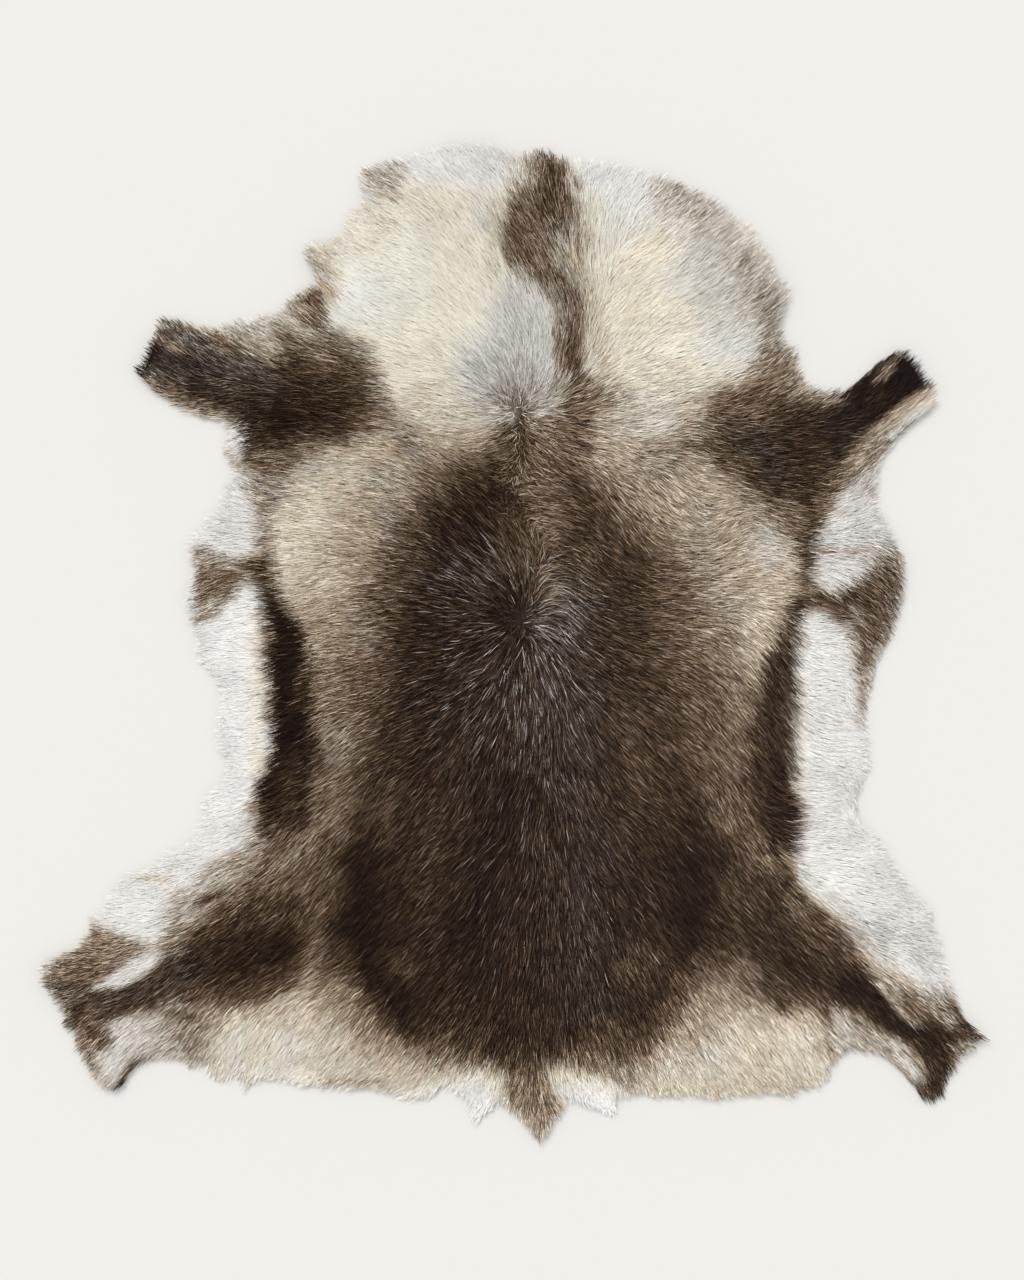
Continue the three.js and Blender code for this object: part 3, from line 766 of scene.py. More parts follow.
    ("umber", 12, 6, [(462, -440), (496, -448)]),
    ("umber", 12, 7, [(556, -462), (566, -474)]),
    ("umber", 12, 6, [(468, -530), (482, -548)]),
    ("ash", 14, 7, [(440, -488), (456, -498)]),
    ("ash", 12, 6, [(528, -506), (540, -490)]),
    ("pearl", 20, 10, [(482, -330), (500, -380)]),
    ("cocoa", 9, 7, [(-460, -508), (-464, -530)]),
    ("hazel", 16, 7, [(-404, -470), (-384, -484)]),
    ("mist", 14, 7, [(-404, -296), (-398, -326)]),
    ("umber", 20, 8, [(-216, -370), (-212, -396)]),
    ("sand", 22, 9, [(-280, -440), (-262, -456)]),
    ("bark", 18, 7, [(-182, -430), (-164, -460)]),
    ("cream", 14, 7, [(-310, -516), (-250, -522)]),
    ("ash", 12, 6, [(-560, -432), (-546, -446)]),
    ("dove", 14, 8, [(-408, -272), (-380, -276)]),
    ("ash", 12, 6, [(-414, -340), (-408, -370)]),
    ("umber", 14, 6, [(-178, -432), (-164, -456)]),
    ("sable", 22, 10, [(238, -330), (236, -382)]),
    ("umber", 22, 10, [(206, -418), (182, -452)]),
    ("hazel", 18, 7, [(250, -408), (258, -430)]),
    ("umber", 12, 7, [(306, -428), (340, -426), (366, -438), (374, -452)]),
    ("cloud", 22, 10, [(410, -336), (446, -342)]),
    ("cloud", 20, 10, [(474, -356), (500, -410)]),
    ("dove", 12, 6, [(424, -368), (446, -390)]),
    ("cocoa", 10, 7, [(474, -534), (484, -550)]),
    ("cocoa", 10, 7, [(560, -464), (570, -476)]),
    ("taupe", 9, 12, [(390, -452), (388, -474)]),
    ("mist", 9, 3, [(396, -456), (392, -476)]),
    ("ash", 12, 5, [(408, -452), (426, -470)]),
    ("taupe", 7, 3, [(436, -412), (456, -436), (476, -458)]),
    ("bark", 9, 5, [(464, -420), (486, -450)]),
    ("umber", 12, 6, [(308, -426), (322, -440)]),
    ("fawn", 30, 13, [(236, -434), (208, -476)]),
    ("umber", 24, 9, [(204, -406), (232, -384)]),
    ("hazel", 10, 5, [(-386, -436), (-374, -444)]),
    ("sand", 34, 11, [(276, -470), (300, -516)]),
    ("umber", 14, 6, [(388, -352), (402, -374)]),
    ("bark", 16, 7, [(286, -256), (310, -272)]),
    ("lilac", 14, 8, [(344, -262), (352, -292), (386, -316)]),
    ("bark", 16, 7, [(328, -316), (346, -330)]),
    ("dove", 10, 4, [(436, -372), (460, -396), (488, -414)]),
    ("umber", 24, 9, [(140, -392), (160, -376)]),
    ("umber", 18, 8, [(84, -470), (116, -464)]),
    ("ash", 12, 6, [(128, -516), (144, -510)]),
    ("chalk", 16, 8, [(-404, -282), (-384, -262)]),
    ("mist", 12, 6, [(-400, -306), (-394, -330)]),
]


def ripple(x, y, size, seed):
    """Smooth noise between -1 and 1 with features of about the given size."""
    lattice = np.random.default_rng(seed).uniform(-1, 1, (64, 64))
    u, v = (x / size) % 63, (y / size) % 63
    i, j = u.astype(int), v.astype(int)
    s, t = u - i, v - j
    s, t = s * s * (3 - 2 * s), t * t * (3 - 2 * t)
    low = lattice[j, i] * (1 - s) + lattice[j, i + 1] * s
    high = lattice[j + 1, i] * (1 - s) + lattice[j + 1, i + 1] * s
    return (low * (1 - t) + high * t) * 1.5


def inside_line(x, y, points):
    """True where x, y lies inside the closed line."""
    inside = np.zeros(x.shape, bool)
    for (ax, ay), (bx, by) in zip(points, points[1:] + points[:1]):
        crosses = (ay > y) != (by > y)
        run = (by - ay) or 1e-9
        inside ^= crosses & (x < ax + (y - ay) * (bx - ax) / run)
    return inside


def as_seen(hex_colour):
    """An sRGB hex colour as three numbers from 0 to 1."""
    return np.array([int(hex_colour[i:i + 2], 16) / 255 for i in (0, 2, 4)])


def painted_coat(x_mm, y_mm):
    """The mean colour (0 to 1, as seen) and the mixedness of the hair at each place."""
    colour = np.zeros(x_mm.shape + (3,)) + as_seen(COATS["fawn"][0])
    mixed = np.full(x_mm.shape, COATS["fawn"][1])
    wander = 0.6 * ripple(x_mm, y_mm, 22, 1) + 0.4 * ripple(x_mm, y_mm, 9, 2)
    for coat, soft, half_width, points in PATCHES:
        hex_colour, mixedness = COATS[coat]
        away = distance_to_line(x_mm, y_mm, points, closed=half_width == 0)
        if half_width == 0:
            away = np.where(inside_line(x_mm, y_mm, points), -away, away)
        away = away - half_width + wander * min(0.3 * soft, 6)
        cover = np.clip(0.5 - away / (2 * soft if half_width and soft > 16 else soft), 0, 1)
        cover = cover * cover * (3 - 2 * cover)
        colour += (as_seen(hex_colour) - colour) * cover[..., None]
        mixed += (mixedness - mixed) * cover
    return colour, mixed


coat_colour, coat_mixed = painted_coat(mesh_x / MM, mesh_y / MM)


# ---------------------------------------------------------------------------------------------
# The lie of the hair: it grows away from two whorls on the back and points to the rear and to the
# legs. Each entry is a place in millimetres and the way the tips point there, in degrees from +X.
COMB = [
    # neck
    (-150, 450, 160), (-50, 420, 132), (0, 480, 120), (45, 575, 96), (85, 480, 86), (150, 450, 30),
    (250, 450, 40), (300, 430, 42), (200, 350, 18), (150, 300, 8), (330, 330, 42), (300, 300, 25),
    (-100, 300, 172), (-200, 300, 180), (-250, 330, 165), (-230, 400, 138), (-250, 430, 135),
    (-160, 550, 150), (-60, 570, 140), (120, 560, 50), (200, 530, 42), (20, 500, 126), (60, 420, 108),
    (75, 370, 84), (30, 400, 110), (-30, 350, 130), (120, 380, 45), (-120, 380, 158), (-200, 480, 150),
    (230, 400, 32), (60, 520, 100), (45, 450, 122), (250, 360, 34),
    # first whorl, between the shoulders
    (-30, 310, 135), (-8, 312, 108), (10, 320, 92), (30, 315, 72), (50, 305, 50), (70, 290, 22),
    (60, 330, 80), (-40, 285, 172), (-35, 265, 190), (-60, 300, 160), (30, 285, 20), (45, 270, -10),
    (70, 260, -18), (100, 270, 0), (-12, 255, 205), (20, 255, -30), (-20, 230, 195), (26, 228, -40),
    (100, 310, 30),
    # left shoulder and foreleg
    (-400, 370, 132), (-430, 350, 138), (-350, 350, 145), (-300, 350, 150), (-400, 300, 184),
    (-350, 290, 186), (-440, 320, 150), (-400, 330, 150), (-320, 260, 192), (-280, 280, 182),
    (-340, 240, 198), (-330, 380, 140), (-300, 380, 150), (-230, 270, 172), (-200, 340, 165),
    # right shoulder and foreleg
    (230, 250, -18), (350, 200, -6), (300, 250, 2), (360, 250, 5), (400, 250, 2), (400, 300, 42),
    (430, 320, 47), (450, 330, 47), (470, 320, 44), (450, 285, 36), (480, 295, 38), (430, 250, 40),
    (450, 250, 42), (350, 290, 30), (410, 220, 35), (390, 230, 12), (420, 200, 44), (270, 300, 22),
    # left flank and belly
    (-340, 180, 155), (-340, 130, 178), (-360, 70, 204), (-390, 50, 206), (-250, 150, 178),
    (-200, 200, 176), (-100, 190, 152), (-150, 140, 166), (-270, 80, 184), (-240, 50, 196),
    (-270, 20, 186), (-200, 20, 184), (-270, -80, 200), (-310, 60, 180), (-340, 0, 182),
    (-330, -120, 186), (-340, -200, 196), (-280, -150, 206), (-330, 100, 182), (-220, -120, 216),
    (-200, -60, 194), (-260, -30, 200), (-400, -100, 184), (-400, -200, 186),
    # second whorl, in the middle of the back
    (-50, 100, 146), (-100, 60, 168), (-100, 0, 185), (-60, -30, 212), (-100, -50, 205),
    (-40, -100, 236), (0, -100, 262), (-150, -100, 202), (-20, 60, 140), (-30, 34, 172), (-22, 12, 205),
    (-5, -10, 240), (15, -15, 282), (8, 62, 108), (22, 56, 60), (40, 70, 10), (30, 30, 10),
    (30, 10, -40), (60, 62, -40), (70, 30, -46), (60, 0, -46), (40, -40, -66), (30, -80, -80),
    (90, 10, -28), (100, -40, -34), (100, 50, -14), (-60, 150, 140), (-30, 120, 132), (0, 110, 118),
    (-50, 200, 150), (-130, 20, 180),
    # right side of the saddle and right flank
    (150, -50, -26), (200, 0, -14), (150, 20, -8), (200, 50, -2), (200, 100, -4), (250, 50, 2),
    (270, 100, 14), (240, 150, 20), (250, 130, 40), (160, 180, -48), (100, 180, -52), (130, 130, -52),
    (60, 150, -20), (60, 200, -30), (30, 170, -10), (210, 160, -38), (190, 200, -42), (130, 220, -22),
    (170, 230, 6), (180, 260, 22), (230, 200, -8), (280, 180, -14), (300, 140, -24), (320, 100, -12),
    (310, 60, 2), (280, 20, -38), (280, -50, -46), (240, -20, -40), (250, -100, -54), (320, 0, -50),
    (310, -50, -56), (310, -120, -56), (200, -100, -40), (150, -130, -46), (80, -130, -58),
    (60, -180, -64), (200, 70, 2), (90, 90, -46), (120, 90, -30),
    # right belly
    (350, 100, 0), (400, 150, 22), (400, 110, -6), (430, 100, -38), (440, 60, -46), (420, 0, -46),
    (410, -60, -46), (370, -50, -4), (370, 20, 10), (380, 60, -36), (390, -120, -10), (370, -180, -4),
    (405, -190, -70), (380, -250, -4), (360, -220, 6), (440, 150, 8), (460, 80, -48),
    # back and rump
    (-100, -250, 222), (-150, -200, 228), (-250, -250, 228), (-250, -300, 230), (-200, -330, 226),
    (0, -180, 246), (-40, -250, 228), (0, -300, 250), (20, -200, 258), (50, -250, 282),
    (100, -250, 304), (50, -350, 272), (100, -350, 292), (150, -300, 308), (200, -250, 308),
    (150, -200, 322), (200, -180, -46), (240, -200, -62), (270, -250, 306), (300, -300, 306),
    (240, -340, 312), (-80, -400, 226), (0, -400, 256), (60, -420, 276), (140, -420, 300),
    (-20, -470, 252), (40, -470, 270), (-100, -350, 224), (30, -130, 262),
    # left hind leg
    (-350, -290, 214), (-400, -300, 206), (-450, -280, 186), (-450, -340, 190), (-470, -370, 196),
    (-500, -420, 202), (-550, -390, 186), (-540, -430, 205), (-520, -480, 220), (-470, -480, 226),
    (-480, -520, 226), (-420, -460, 216), (-380, -470, 230), (-300, -400, 212), (-350, -380, 216),
    (-420, -400, 216), (-300, -340, 222), (-520, -360, 184), (-400, -250, 184), (-350, -250, 200),
    (-500, -340, 170),
    # hair between the hind legs
    (-360, -500, 244), (-250, -400, 208), (-200, -400, 216), (-250, -450, 228), (-300, -480, 240),
    (-200, -480, 232), (-150, -480, 234), (-100, -490, 234), (-50, -450, 236), (-330, -520, 240),
    (-240, -525, 228), (-160, -525, 215), (150, -480, 294), (100, -480, 292), (50, -490, 276),
    (200, -480, 304), (250, -450, 306), (300, -480, 304), (250, -400, 314), (300, -400, 318),
    (350, -500, 300), (200, -530, 300), (300, -530, 308), (-60, -540, 240), (20, -570, 270),
    (-10, -545, 250), (45, -550, 300), (100, -540, 296), (0, -520, 256), (40, -520, 290),
    # right hind leg
    (350, -350, 315), (400, -400, 316), (450, -450, 316), (480, -460, 316), (520, -470, 320),
    (560, -470, 334), (500, -520, 290), (470, -520, 312), (430, -480, 314), (450, -350, 348),
    (420, -300, 344), (480, -390, 322), (380, -320, 326), (520, -430, 320), (440, -400, 316),
    (380, -440, 310), (540, -490, 320), (400, -470, 312), (500, -360, 350), (440, -250, 356),
]
REACH = 16  # mm; nearer than this, strokes blend evenly


def combed(x_mm, y_mm):
    """The way the hair lies at each place, from the nearest strokes; short where they disagree."""
    way = np.zeros(x_mm.shape + (2,))
    total = np.zeros(x_mm.shape)
    for px, py, degrees in COMB:
        weight = 1 / ((x_mm - px) ** 2 + (y_mm - py) ** 2 + REACH ** 2) ** 2
        way[..., 0] += weight * math.cos(math.radians(degrees))
        way[..., 1] += weight * math.sin(math.radians(degrees))
        total += weight
    return way / total[..., None]


lie = combed(mesh_x / MM, mesh_y / MM)

# ---------------------------------------------------------------------------------------------
# The skin: one sheet of tanned leather, suede on its flesh side, about 2 mm thick. It stops a
# little short of the hair tips, and curls where the hide's edge lifts off the floor.
SKIN_THICK = 2 * MM
SKIN_INSET = 6 * MM
SKIN_CELL = 11 * MM


def to_linear(seen):
    """Colours as seen, turned to linear."""
    seen = np.clip(seen, 0, 1)
    return np.where(seen <= 0.04045, seen / 12.92, ((seen + 0.055) / 1.055) ** 2.4)


def linear(hex_colour):
    """An sRGB hex colour as linear red, green, blue and alpha."""
    return (*to_linear(as_seen(hex_colour)), 1.0)


def node(tree, kind, settings=None, links=None):
    """Adds a shader node, sets its properties and sockets, and links other sockets to its inputs."""
    made = tree.nodes.new(kind)
    for name, value in (settings or {}).items():
        if isinstance(name, str) and hasattr(made, name):
            setattr(made, name, value)
        else:
            made.inputs[name].default_value = value
    for name, source in (links or {}).items():
        tree.links.new(source, made.inputs[name])
    return made


def plain_mesh(name, copy):
    """An object holding the bmesh, at the origin, ready to ride on the hide's body."""
    mesh = bpy.data.meshes.new(name)
    copy.to_mesh(mesh)
    copy.free()
    made = bpy.data.objects.new(name, mesh)
    bpy.context.scene.collection.objects.link(made)
    return made


def cut_sheet(inset, cell):
    """A flat grid cut to the hide's outline, with its rim moved onto the line that far inside it."""
    wide, long = hide_high.x - hide_low.x, hide_high.y - hide_low.y
    cut = bmesh.new()
    bmesh.ops.create_grid(cut, x_segments=int(wide / cell), y_segments=int(long / cell), size=0.5)
    bmesh.ops.scale(cut, vec=(wide, long, 1), verts=cut.verts)
    bmesh.ops.translate(cut, vec=((hide_low + hide_high) / 2).to_2d().to_3d(), verts=cut.verts)
    places = np.array([v.co[:2] for v in cut.verts])
    away = at(past_edge, places[:, 0], places[:, 1]) + inset
    outside = [v for v, d in zip(cut.verts, away) if d > cell * 0.35]
    bmesh.ops.delete(cut, geom=outside, context="VERTS")
    loose = [v for v in cut.verts if len(v.link_faces) < 2]
    bmesh.ops.delete(cut, geom=loose, context="VERTS")
    slope_y, slope_x = np.gradient(past_edge, GRID_STEP)
    for _ in range(3):
        for v in cut.verts:
            if v.is_boundary:
                x, y = np.array([v.co.x]), np.array([v.co.y])
                off = at(past_edge, x, y)[0] + inset
                sx, sy = at(slope_x, x, y)[0], at(slope_y, x, y)[0]
                size2 = max(sx * sx + sy * sy, 0.25)
                v.co.x -= 0.8 * off * sx / size2
                v.co.y -= 0.8 * off * sy / size2
    return cut


def thickened(sheet, low, high):
    """Closes a flat sheet into a solid between the height grids low and high."""
    faces = list(sheet.faces)
    grown = bmesh.ops.extrude_face_region(sheet, geom=faces)
    raised = [v for v in grown["geom"] if isinstance(v, bmesh.types.BMVert)]
    top = set(raised)
    for v in sheet.verts:
        x, y = np.array([v.co.x]), np.array([v.co.y])
        v.co.z = at(high if v in top else low, x, y)[0]
    bmesh.ops.recalc_face_normals(sheet, faces=sheet.faces)
    return sheet


skin_sheet = cut_sheet(SKIN_INSET, SKIN_CELL)
skin_area = sum(f.calc_area() for f in skin_sheet.faces)
skin = plain_mesh("skin", thickened(skin_sheet, under_face, under_face + SKIN_THICK))

# Suede leather, tanned and split: a matt cream nap with faint tan mottling where the grease stayed.
suede = bpy.data.materials.new("suede_leather")
suede.use_nodes = True
suede_tree = suede.node_tree
suede_shader = suede_tree.nodes["Principled BSDF"]
suede_shader.inputs["Roughness"].default_value = 0.92
suede_shader.inputs["Specular IOR Level"].default_value = 0.25
place = node(suede_tree, "ShaderNodeTexCoord")
MOTTLE = 60  # mm across one mottled patch
NAP = 1.5  # mm between tufts of the nap, coarser than real so that it shows
mottle = node(suede_tree, "ShaderNodeTexNoise", {"Scale": 1000 / MOTTLE, "Detail": 4.0},
              {"Vector": place.outputs["Object"]})
nap = node(suede_tree, "ShaderNodeTexNoise", {"Scale": 1000 / NAP, "Detail": 2.0},
           {"Vector": place.outputs["Object"]})
suede_ramp = node(suede_tree, "ShaderNodeMix", {"data_type": "RGBA"}, {0: mottle.outputs["Fac"]})
suede_ramp.inputs[6].default_value = linear("cdbfa4")
suede_ramp.inputs[7].default_value = linear("e6dcc8")
suede_tree.links.new(suede_ramp.outputs[2], suede_shader.inputs["Base Color"])
suede_bump = node(suede_tree, "ShaderNodeBump", {"Strength": 0.3, "Distance": 0.0004},
                  {"Height": nap.outputs["Fac"]})
suede_tree.links.new(suede_bump.outputs["Normal"], suede_shader.inputs["Normal"])
skin.data.materials.append(suede)

# ---------------------------------------------------------------------------------------------
# Hair. Every strand of this coat is a narrow blade that leaves the skin, bends once or twice and
# lies flat; its colour is stored at its corners, darker at the root as painted shade for the depth
# of the pile, and paler at the tip.
hair = bpy.data.materials.new("reindeer_hair")
hair.use_nodes = True
hair_tree = hair.node_tree
hair_shader = hair_tree.nodes["Principled BSDF"]
hair_shader.inputs["Roughness"].default_value = 0.55
hair_shader.inputs["Specular IOR Level"].default_value = 0.14
# the stored hair colour carries the painted shade at the roots
grown_colour = node(hair_tree, "ShaderNodeAttribute", {"attribute_name": "coat"})
hair_place = node(hair_tree, "ShaderNodeTexCoord")
DUST = 30  # mm across one patch of slightly duller hair
dull = node(hair_tree, "ShaderNodeTexNoise", {"Scale": 1000 / DUST, "Detail": 3.0},
            {"Vector": hair_place.outputs["Object"]})
dull_range = node(hair_tree, "ShaderNodeMapRange",
                  {"From Min": 0.3, "From Max": 0.7, "To Min": 0.95, "To Max": 1.05},
                  {"Value": dull.outputs["Fac"]})
hair_colour = node(hair_tree, "ShaderNodeVectorMath", {"operation": "MULTIPLY"},
                   {0: grown_colour.outputs["Color"], 1: dull_range.outputs["Result"]})
hair_tree.links.new(hair_colour.outputs["Vector"], hair_shader.inputs["Base Color"])


def lit(seen):
    """The strand colour that, shaded by its neighbours and with its shine, is seen as this colour.
    Light passed on between pale hairs deepens their tint, so they are stored a little greyer."""
    value = seen.mean(-1, keepdims=True)
    strength = 1.29 * np.interp(value, [0.15, 0.23, 0.31, 0.41, 0.5, 0.6, 0.68, 0.8, 0.9],
                                [0.49, 0.63, 0.77, 0.92, 0.98, 1.0, 0.99, 0.93, 0.84])
    stored = to_linear(seen) * strength
    stored *= 1 + np.array((0.05, 0.0, -0.05)) * np.interp(value, [0.4, 0.65], [1, 0])
    palest = stored.max(-1, keepdims=True)
    stored += (palest - stored) * 0.32 * np.clip((value - 0.5) / 0.25, 0, 1)
    return np.clip(stored - np.array((0.0005, 0.003, 0.005)), 0.002, 0.95)


def painted_root_shade(seen):
    """How much darker than its tip a hair is painted at the root, as painted shade deep in the
    pile: dark hair a lot, white hair hardly at all.
    """
    pale = np.clip((seen.mean(-1) - 0.5) / 0.35, 0, 1)
    return 0.5 + 0.47 * pale


def joined_blades(name, points, flat_uv, colours, faces):
    """One mesh of many blades: points (n, k, 3), colours (n, k, 3), and faces as corner triples."""
    count, corners = points.shape[:2]
    mesh = bpy.data.meshes.new(name)
    mesh.vertices.add(count * corners)
    mesh.vertices.foreach_set("co", points.reshape(-1).astype(np.float32))
    triples = (np.array(faces)[None] + (np.arange(count) * corners)[:, None, None]).reshape(-1)
    mesh.loops.add(len(triples))
    mesh.loops.foreach_set("vertex_index", triples.astype(np.int32))
    mesh.polygons.add(len(triples) // 3)
    mesh.polygons.foreach_set("loop_start", np.arange(0, len(triples), 3, dtype=np.int32))
    mesh.polygons.foreach_set("loop_total", np.full(len(triples) // 3, 3, np.int32))
    mesh.update(calc_edges=True)
    coat = mesh.color_attributes.new("coat", "FLOAT_COLOR", "POINT")
    rgba = np.concatenate([colours.reshape(-1, 3), np.ones((count * corners, 1))], 1)
    coat.data.foreach_set("color", rgba.reshape(-1).astype(np.float32))
    laid = flat_uv.reshape(-1, 2)
    low, high = laid.min(0), laid.max(0)
    unit = (laid - low) / (high - low).max()
    layer = mesh.uv_layers.new(name="OFBake")
    layer.data.foreach_set("uv", unit[triples].reshape(-1).astype(np.float32))
    mesh.materials.append(hair)
    made = bpy.data.objects.new(name, mesh)
    bpy.context.scene.collection.objects.link(made)
    return made


def scattered(count, inset, seed):
    """Random places on the hide, no nearer its edge than inset."""
    dice = np.random.default_rng(seed)
    found = np.zeros((0, 2))
    while len(found) < count:
        tries = dice.uniform((hide_low.x, hide_low.y), (hide_high.x, hide_high.y), (count * 2, 2))
        found = np.concatenate([found, tries[at(past_edge, tries[:, 0], tries[:, 1]) < -inset]])
    return found[:count]


def turned(way, angle):
    """Unit vectors turned by an angle each."""
    unit = way / np.maximum(np.linalg.norm(way, axis=1, keepdims=True), 1e-9)
    c, s = np.cos(angle), np.sin(angle)
    return np.stack([unit[:, 0] * c - unit[:, 1] * s, unit[:, 0] * s + unit[:, 1] * c], 1)


def height(places, share):
    """The height at this share of the pile, from the flesh side to the hair tips."""
    low = at(under_face, places[:, 0], places[:, 1])
    return low + (at(top_face, places[:, 0], places[:, 1]) - low) * share


SHOWN_AT = 0.55  # of the way from a strand's bend to its tip
LOCK_TURN = math.radians(3)  # how far a whole lock turns from the lie
STRAND_STRAY = math.radians(3.5)  # and one strand from its lock
ROOT_CLEAR = 4.5 * MM  # no root is nearer the edge
FULL_PILE = 20 * MM  # hair has its full length where the pile is this deep
TUFT_FLARE = 30 * MM  # strands of a lock spread as if from a point this far back
SHADE_REACH = 3.5 * MM  # a strand may take its shade from this far up or down the lie
# painted shade: pale hair nearer the edge than this is stored darker, to offset the extra light it
# catches
EDGE_SHADE_REACH = 40 * MM  # pale hair nearer the edge than this catches more light


def grow(locks, seed, strands=1, long=21 * MM, wide=0.7 * MM, bends=(0.45,),
         overhang=(-11 * MM, 3 * MM), tuft=(4 * MM, 1.5 * MM), lift=(0.76, 0.90), shade=None):
    """Strands in small locks: each lock's strands share a direction, a height and a shade."""
    dice = np.random.default_rng(seed)
    lock_count = len(locks)
    whole = lock_count * strands

    def each_lock(values):
        return np.repeat(values, strands, axis=0)

    way = at(lie, locks[:, 0], locks[:, 1])
    astray = 1 - np.clip(np.linalg.norm(way, axis=1), 0, 1)  # large at a whorl's middle
    turn = dice.normal(0, 1, lock_count) * (LOCK_TURN + 1.2 * astray ** 2)
    along = turned(way, turn)
    across = turned(along, math.pi / 2)
    along_off = dice.normal(0, tuft[0], whole)
    across_off = dice.normal(0, tuft[1], whole)
    root = (each_lock(locks) + each_lock(along) * along_off[:, None]
            + each_lock(across) * across_off[:, None])
    kept = at(past_edge, root[:, 0], root[:, 1]) < -ROOT_CLEAR
    stray = each_lock(turn) + dice.normal(0, 1, whole) * (STRAND_STRAY + 0.7 * each_lock(astray) ** 2)
    stray -= across_off / TUFT_FLARE
    pile = at(top_face - under_face, root[:, 0], root[:, 1])
    length = long * (0.55 + 0.45 * np.clip(pile / FULL_PILE, 0, 1)) * dice.uniform(0.75, 1.25, whole)
    length *= 1 - 0.45 * each_lock(astray)
    # a strand that would pass the hide's edge is cut short there, at a length of its own
    ahead = turned(at(lie, root[:, 0], root[:, 1]), stray)
    allowed = dice.uniform(*overhang, whole)
    reach = np.ones(whole)
    for share in (1.0, 0.88, 0.76, 0.64, 0.52, 0.40):
        tip = root + ahead * (length * share)[:, None]
        past = at(past_edge, tip[:, 0], tip[:, 1])
        reach = np.where((past > allowed) & (reach >= share), share - 0.1, reach)
    length *= reach
    kept &= reach > 0.32
    # its middle line follows the lie of the coat from station to station
    curl = dice.normal(0, 0.10, whole)
    stations = [root]
    stops = [0.0, *bends, 1.0]
    for share, step in zip(stops[1:], np.diff(stops)):
        bent = stray + curl * (share - 0.5) * 2
        ahead = turned(at(lie, stations[-1][:, 0], stations[-1][:, 1]), bent)
        stations.append(stations[-1] + ahead * (length * step)[:, None])
    # a strand shows its outer half, so it takes the shade painted there, or a little up or down the lie
    shown = stations[1] + (stations[-1] - stations[1]) * SHOWN_AT
    drawn = each_lock(along * dice.normal(0, SHADE_REACH, lock_count)[:, None]) \
        + ahead * dice.normal(0, SHADE_REACH, whole)[:, None]
    sampled = shown + drawn
    seen = at(coat_colour, sampled[:, 0], sampled[:, 1])
    if shade is not None:
        seen = seen + (shade - seen) * dice.uniform(0.25, 0.9, whole)[:, None]
    mixed = at(coat_mixed, sampled[:, 0], sampled[:, 1])
    uneven = each_lock(dice.normal(0, 0.2, lock_count)) + dice.normal(0, 1.55, whole)
    tone = np.exp(mixed * np.clip(uneven, -2.6, 2.6) - mixed ** 2 * 1.02)
    seen = np.clip(seen * tone[:, None], 0, 0.96)
    # the paler strands of a dark coat are greyer, not brighter brown
    greyer = 0.35 * np.clip((tone - 1) / 0.5, 0, 1)[:, None]
    seen += (seen.mean(-1, keepdims=True) * (1.02, 1.0, 0.98) - seen) * greyer
    pale = np.clip((seen.mean(-1) - 0.5) / 0.35, 0, 1)
    # white hair lies smoother than the coarse dark hair
    raised = each_lock(dice.normal(0, 0.04, lock_count)) + dice.normal(0, 0.07, whole)
    raised = raised * (1 - 0.7 * pale)
    tip_off = dice.normal(0, 0.05, whole)
    roll = dice.normal(0, math.radians(30), whole) * (1 - 0.8 * pale)
    half = 0.5 * wide * dice.uniform(0.7, 1.3, whole)
    beside = turned(ahead, math.pi / 2)
    shift = beside * (half * np.cos(roll))[:, None]
    tilt = half * np.sin(roll)
    points = [np.column_stack([root, height(root, 0.30)])]
    flat = [root]
    for share, place in zip(bends, stations[1:-1]):
        past_middle = max(0, share - 0.45)
        middle_share = np.clip(lift[0] + (lift[1] - lift[0]) * past_middle / 0.55 + raised, 0.4, 1.02)
        taper = 1 - 0.45 * past_middle
        z = height(place, middle_share)
        points += [np.column_stack([place - shift * taper, z - tilt * taper]),
                   np.column_stack([place + shift * taper, z + tilt * taper])]
        flat += [place - beside * half[:, None] * taper, place + beside * half[:, None] * taper]
    tip_share = np.clip(lift[1] + raised + tip_off, 0.45, 1.12)
    points.append(np.column_stack([stations[-1], height(stations[-1], tip_share)]))
    flat.append(stations[-1])
    along_hair = np.array([0.0] + [share for share in bends for _ in (0, 1)] + [1.0])
    # painted shade: each strand darkens towards its root, standing in for the shade deep in the pile
    dark = painted_root_shade(seen)[:, None]
    shade_along_hair = dark + (1.04 - dark) * np.clip(along_hair / 0.45, 0, 1)[None]
    # painted shade: pale hair near the edge catches more light than pale hair in the middle of the
    # coat, so it is stored darker there
    edge_shade = np.clip(1 + at(past_edge, stations[-1][:, 0], stations[-1][:, 1]) / EDGE_SHADE_REACH, 0, 1)
    colours = lit(seen[:, None, :] * shade_along_hair[..., None]) * (1 - 0.14 * edge_shade * pale)[:, None, None]
    return np.stack(points, 1)[kept], np.stack(flat, 1)[kept], colours[kept]


def blade(bends):
    """The triangles of one strand with this many bends."""
    faces = [(0, 1, 2)]
    for i in range(1, 2 * bends - 1, 2):
        faces += [(i, i + 2, i + 1), (i + 1, i + 2, i + 3)]
    return faces + [(2 * bends - 1, 2 * bends + 1, 2 * bends)]


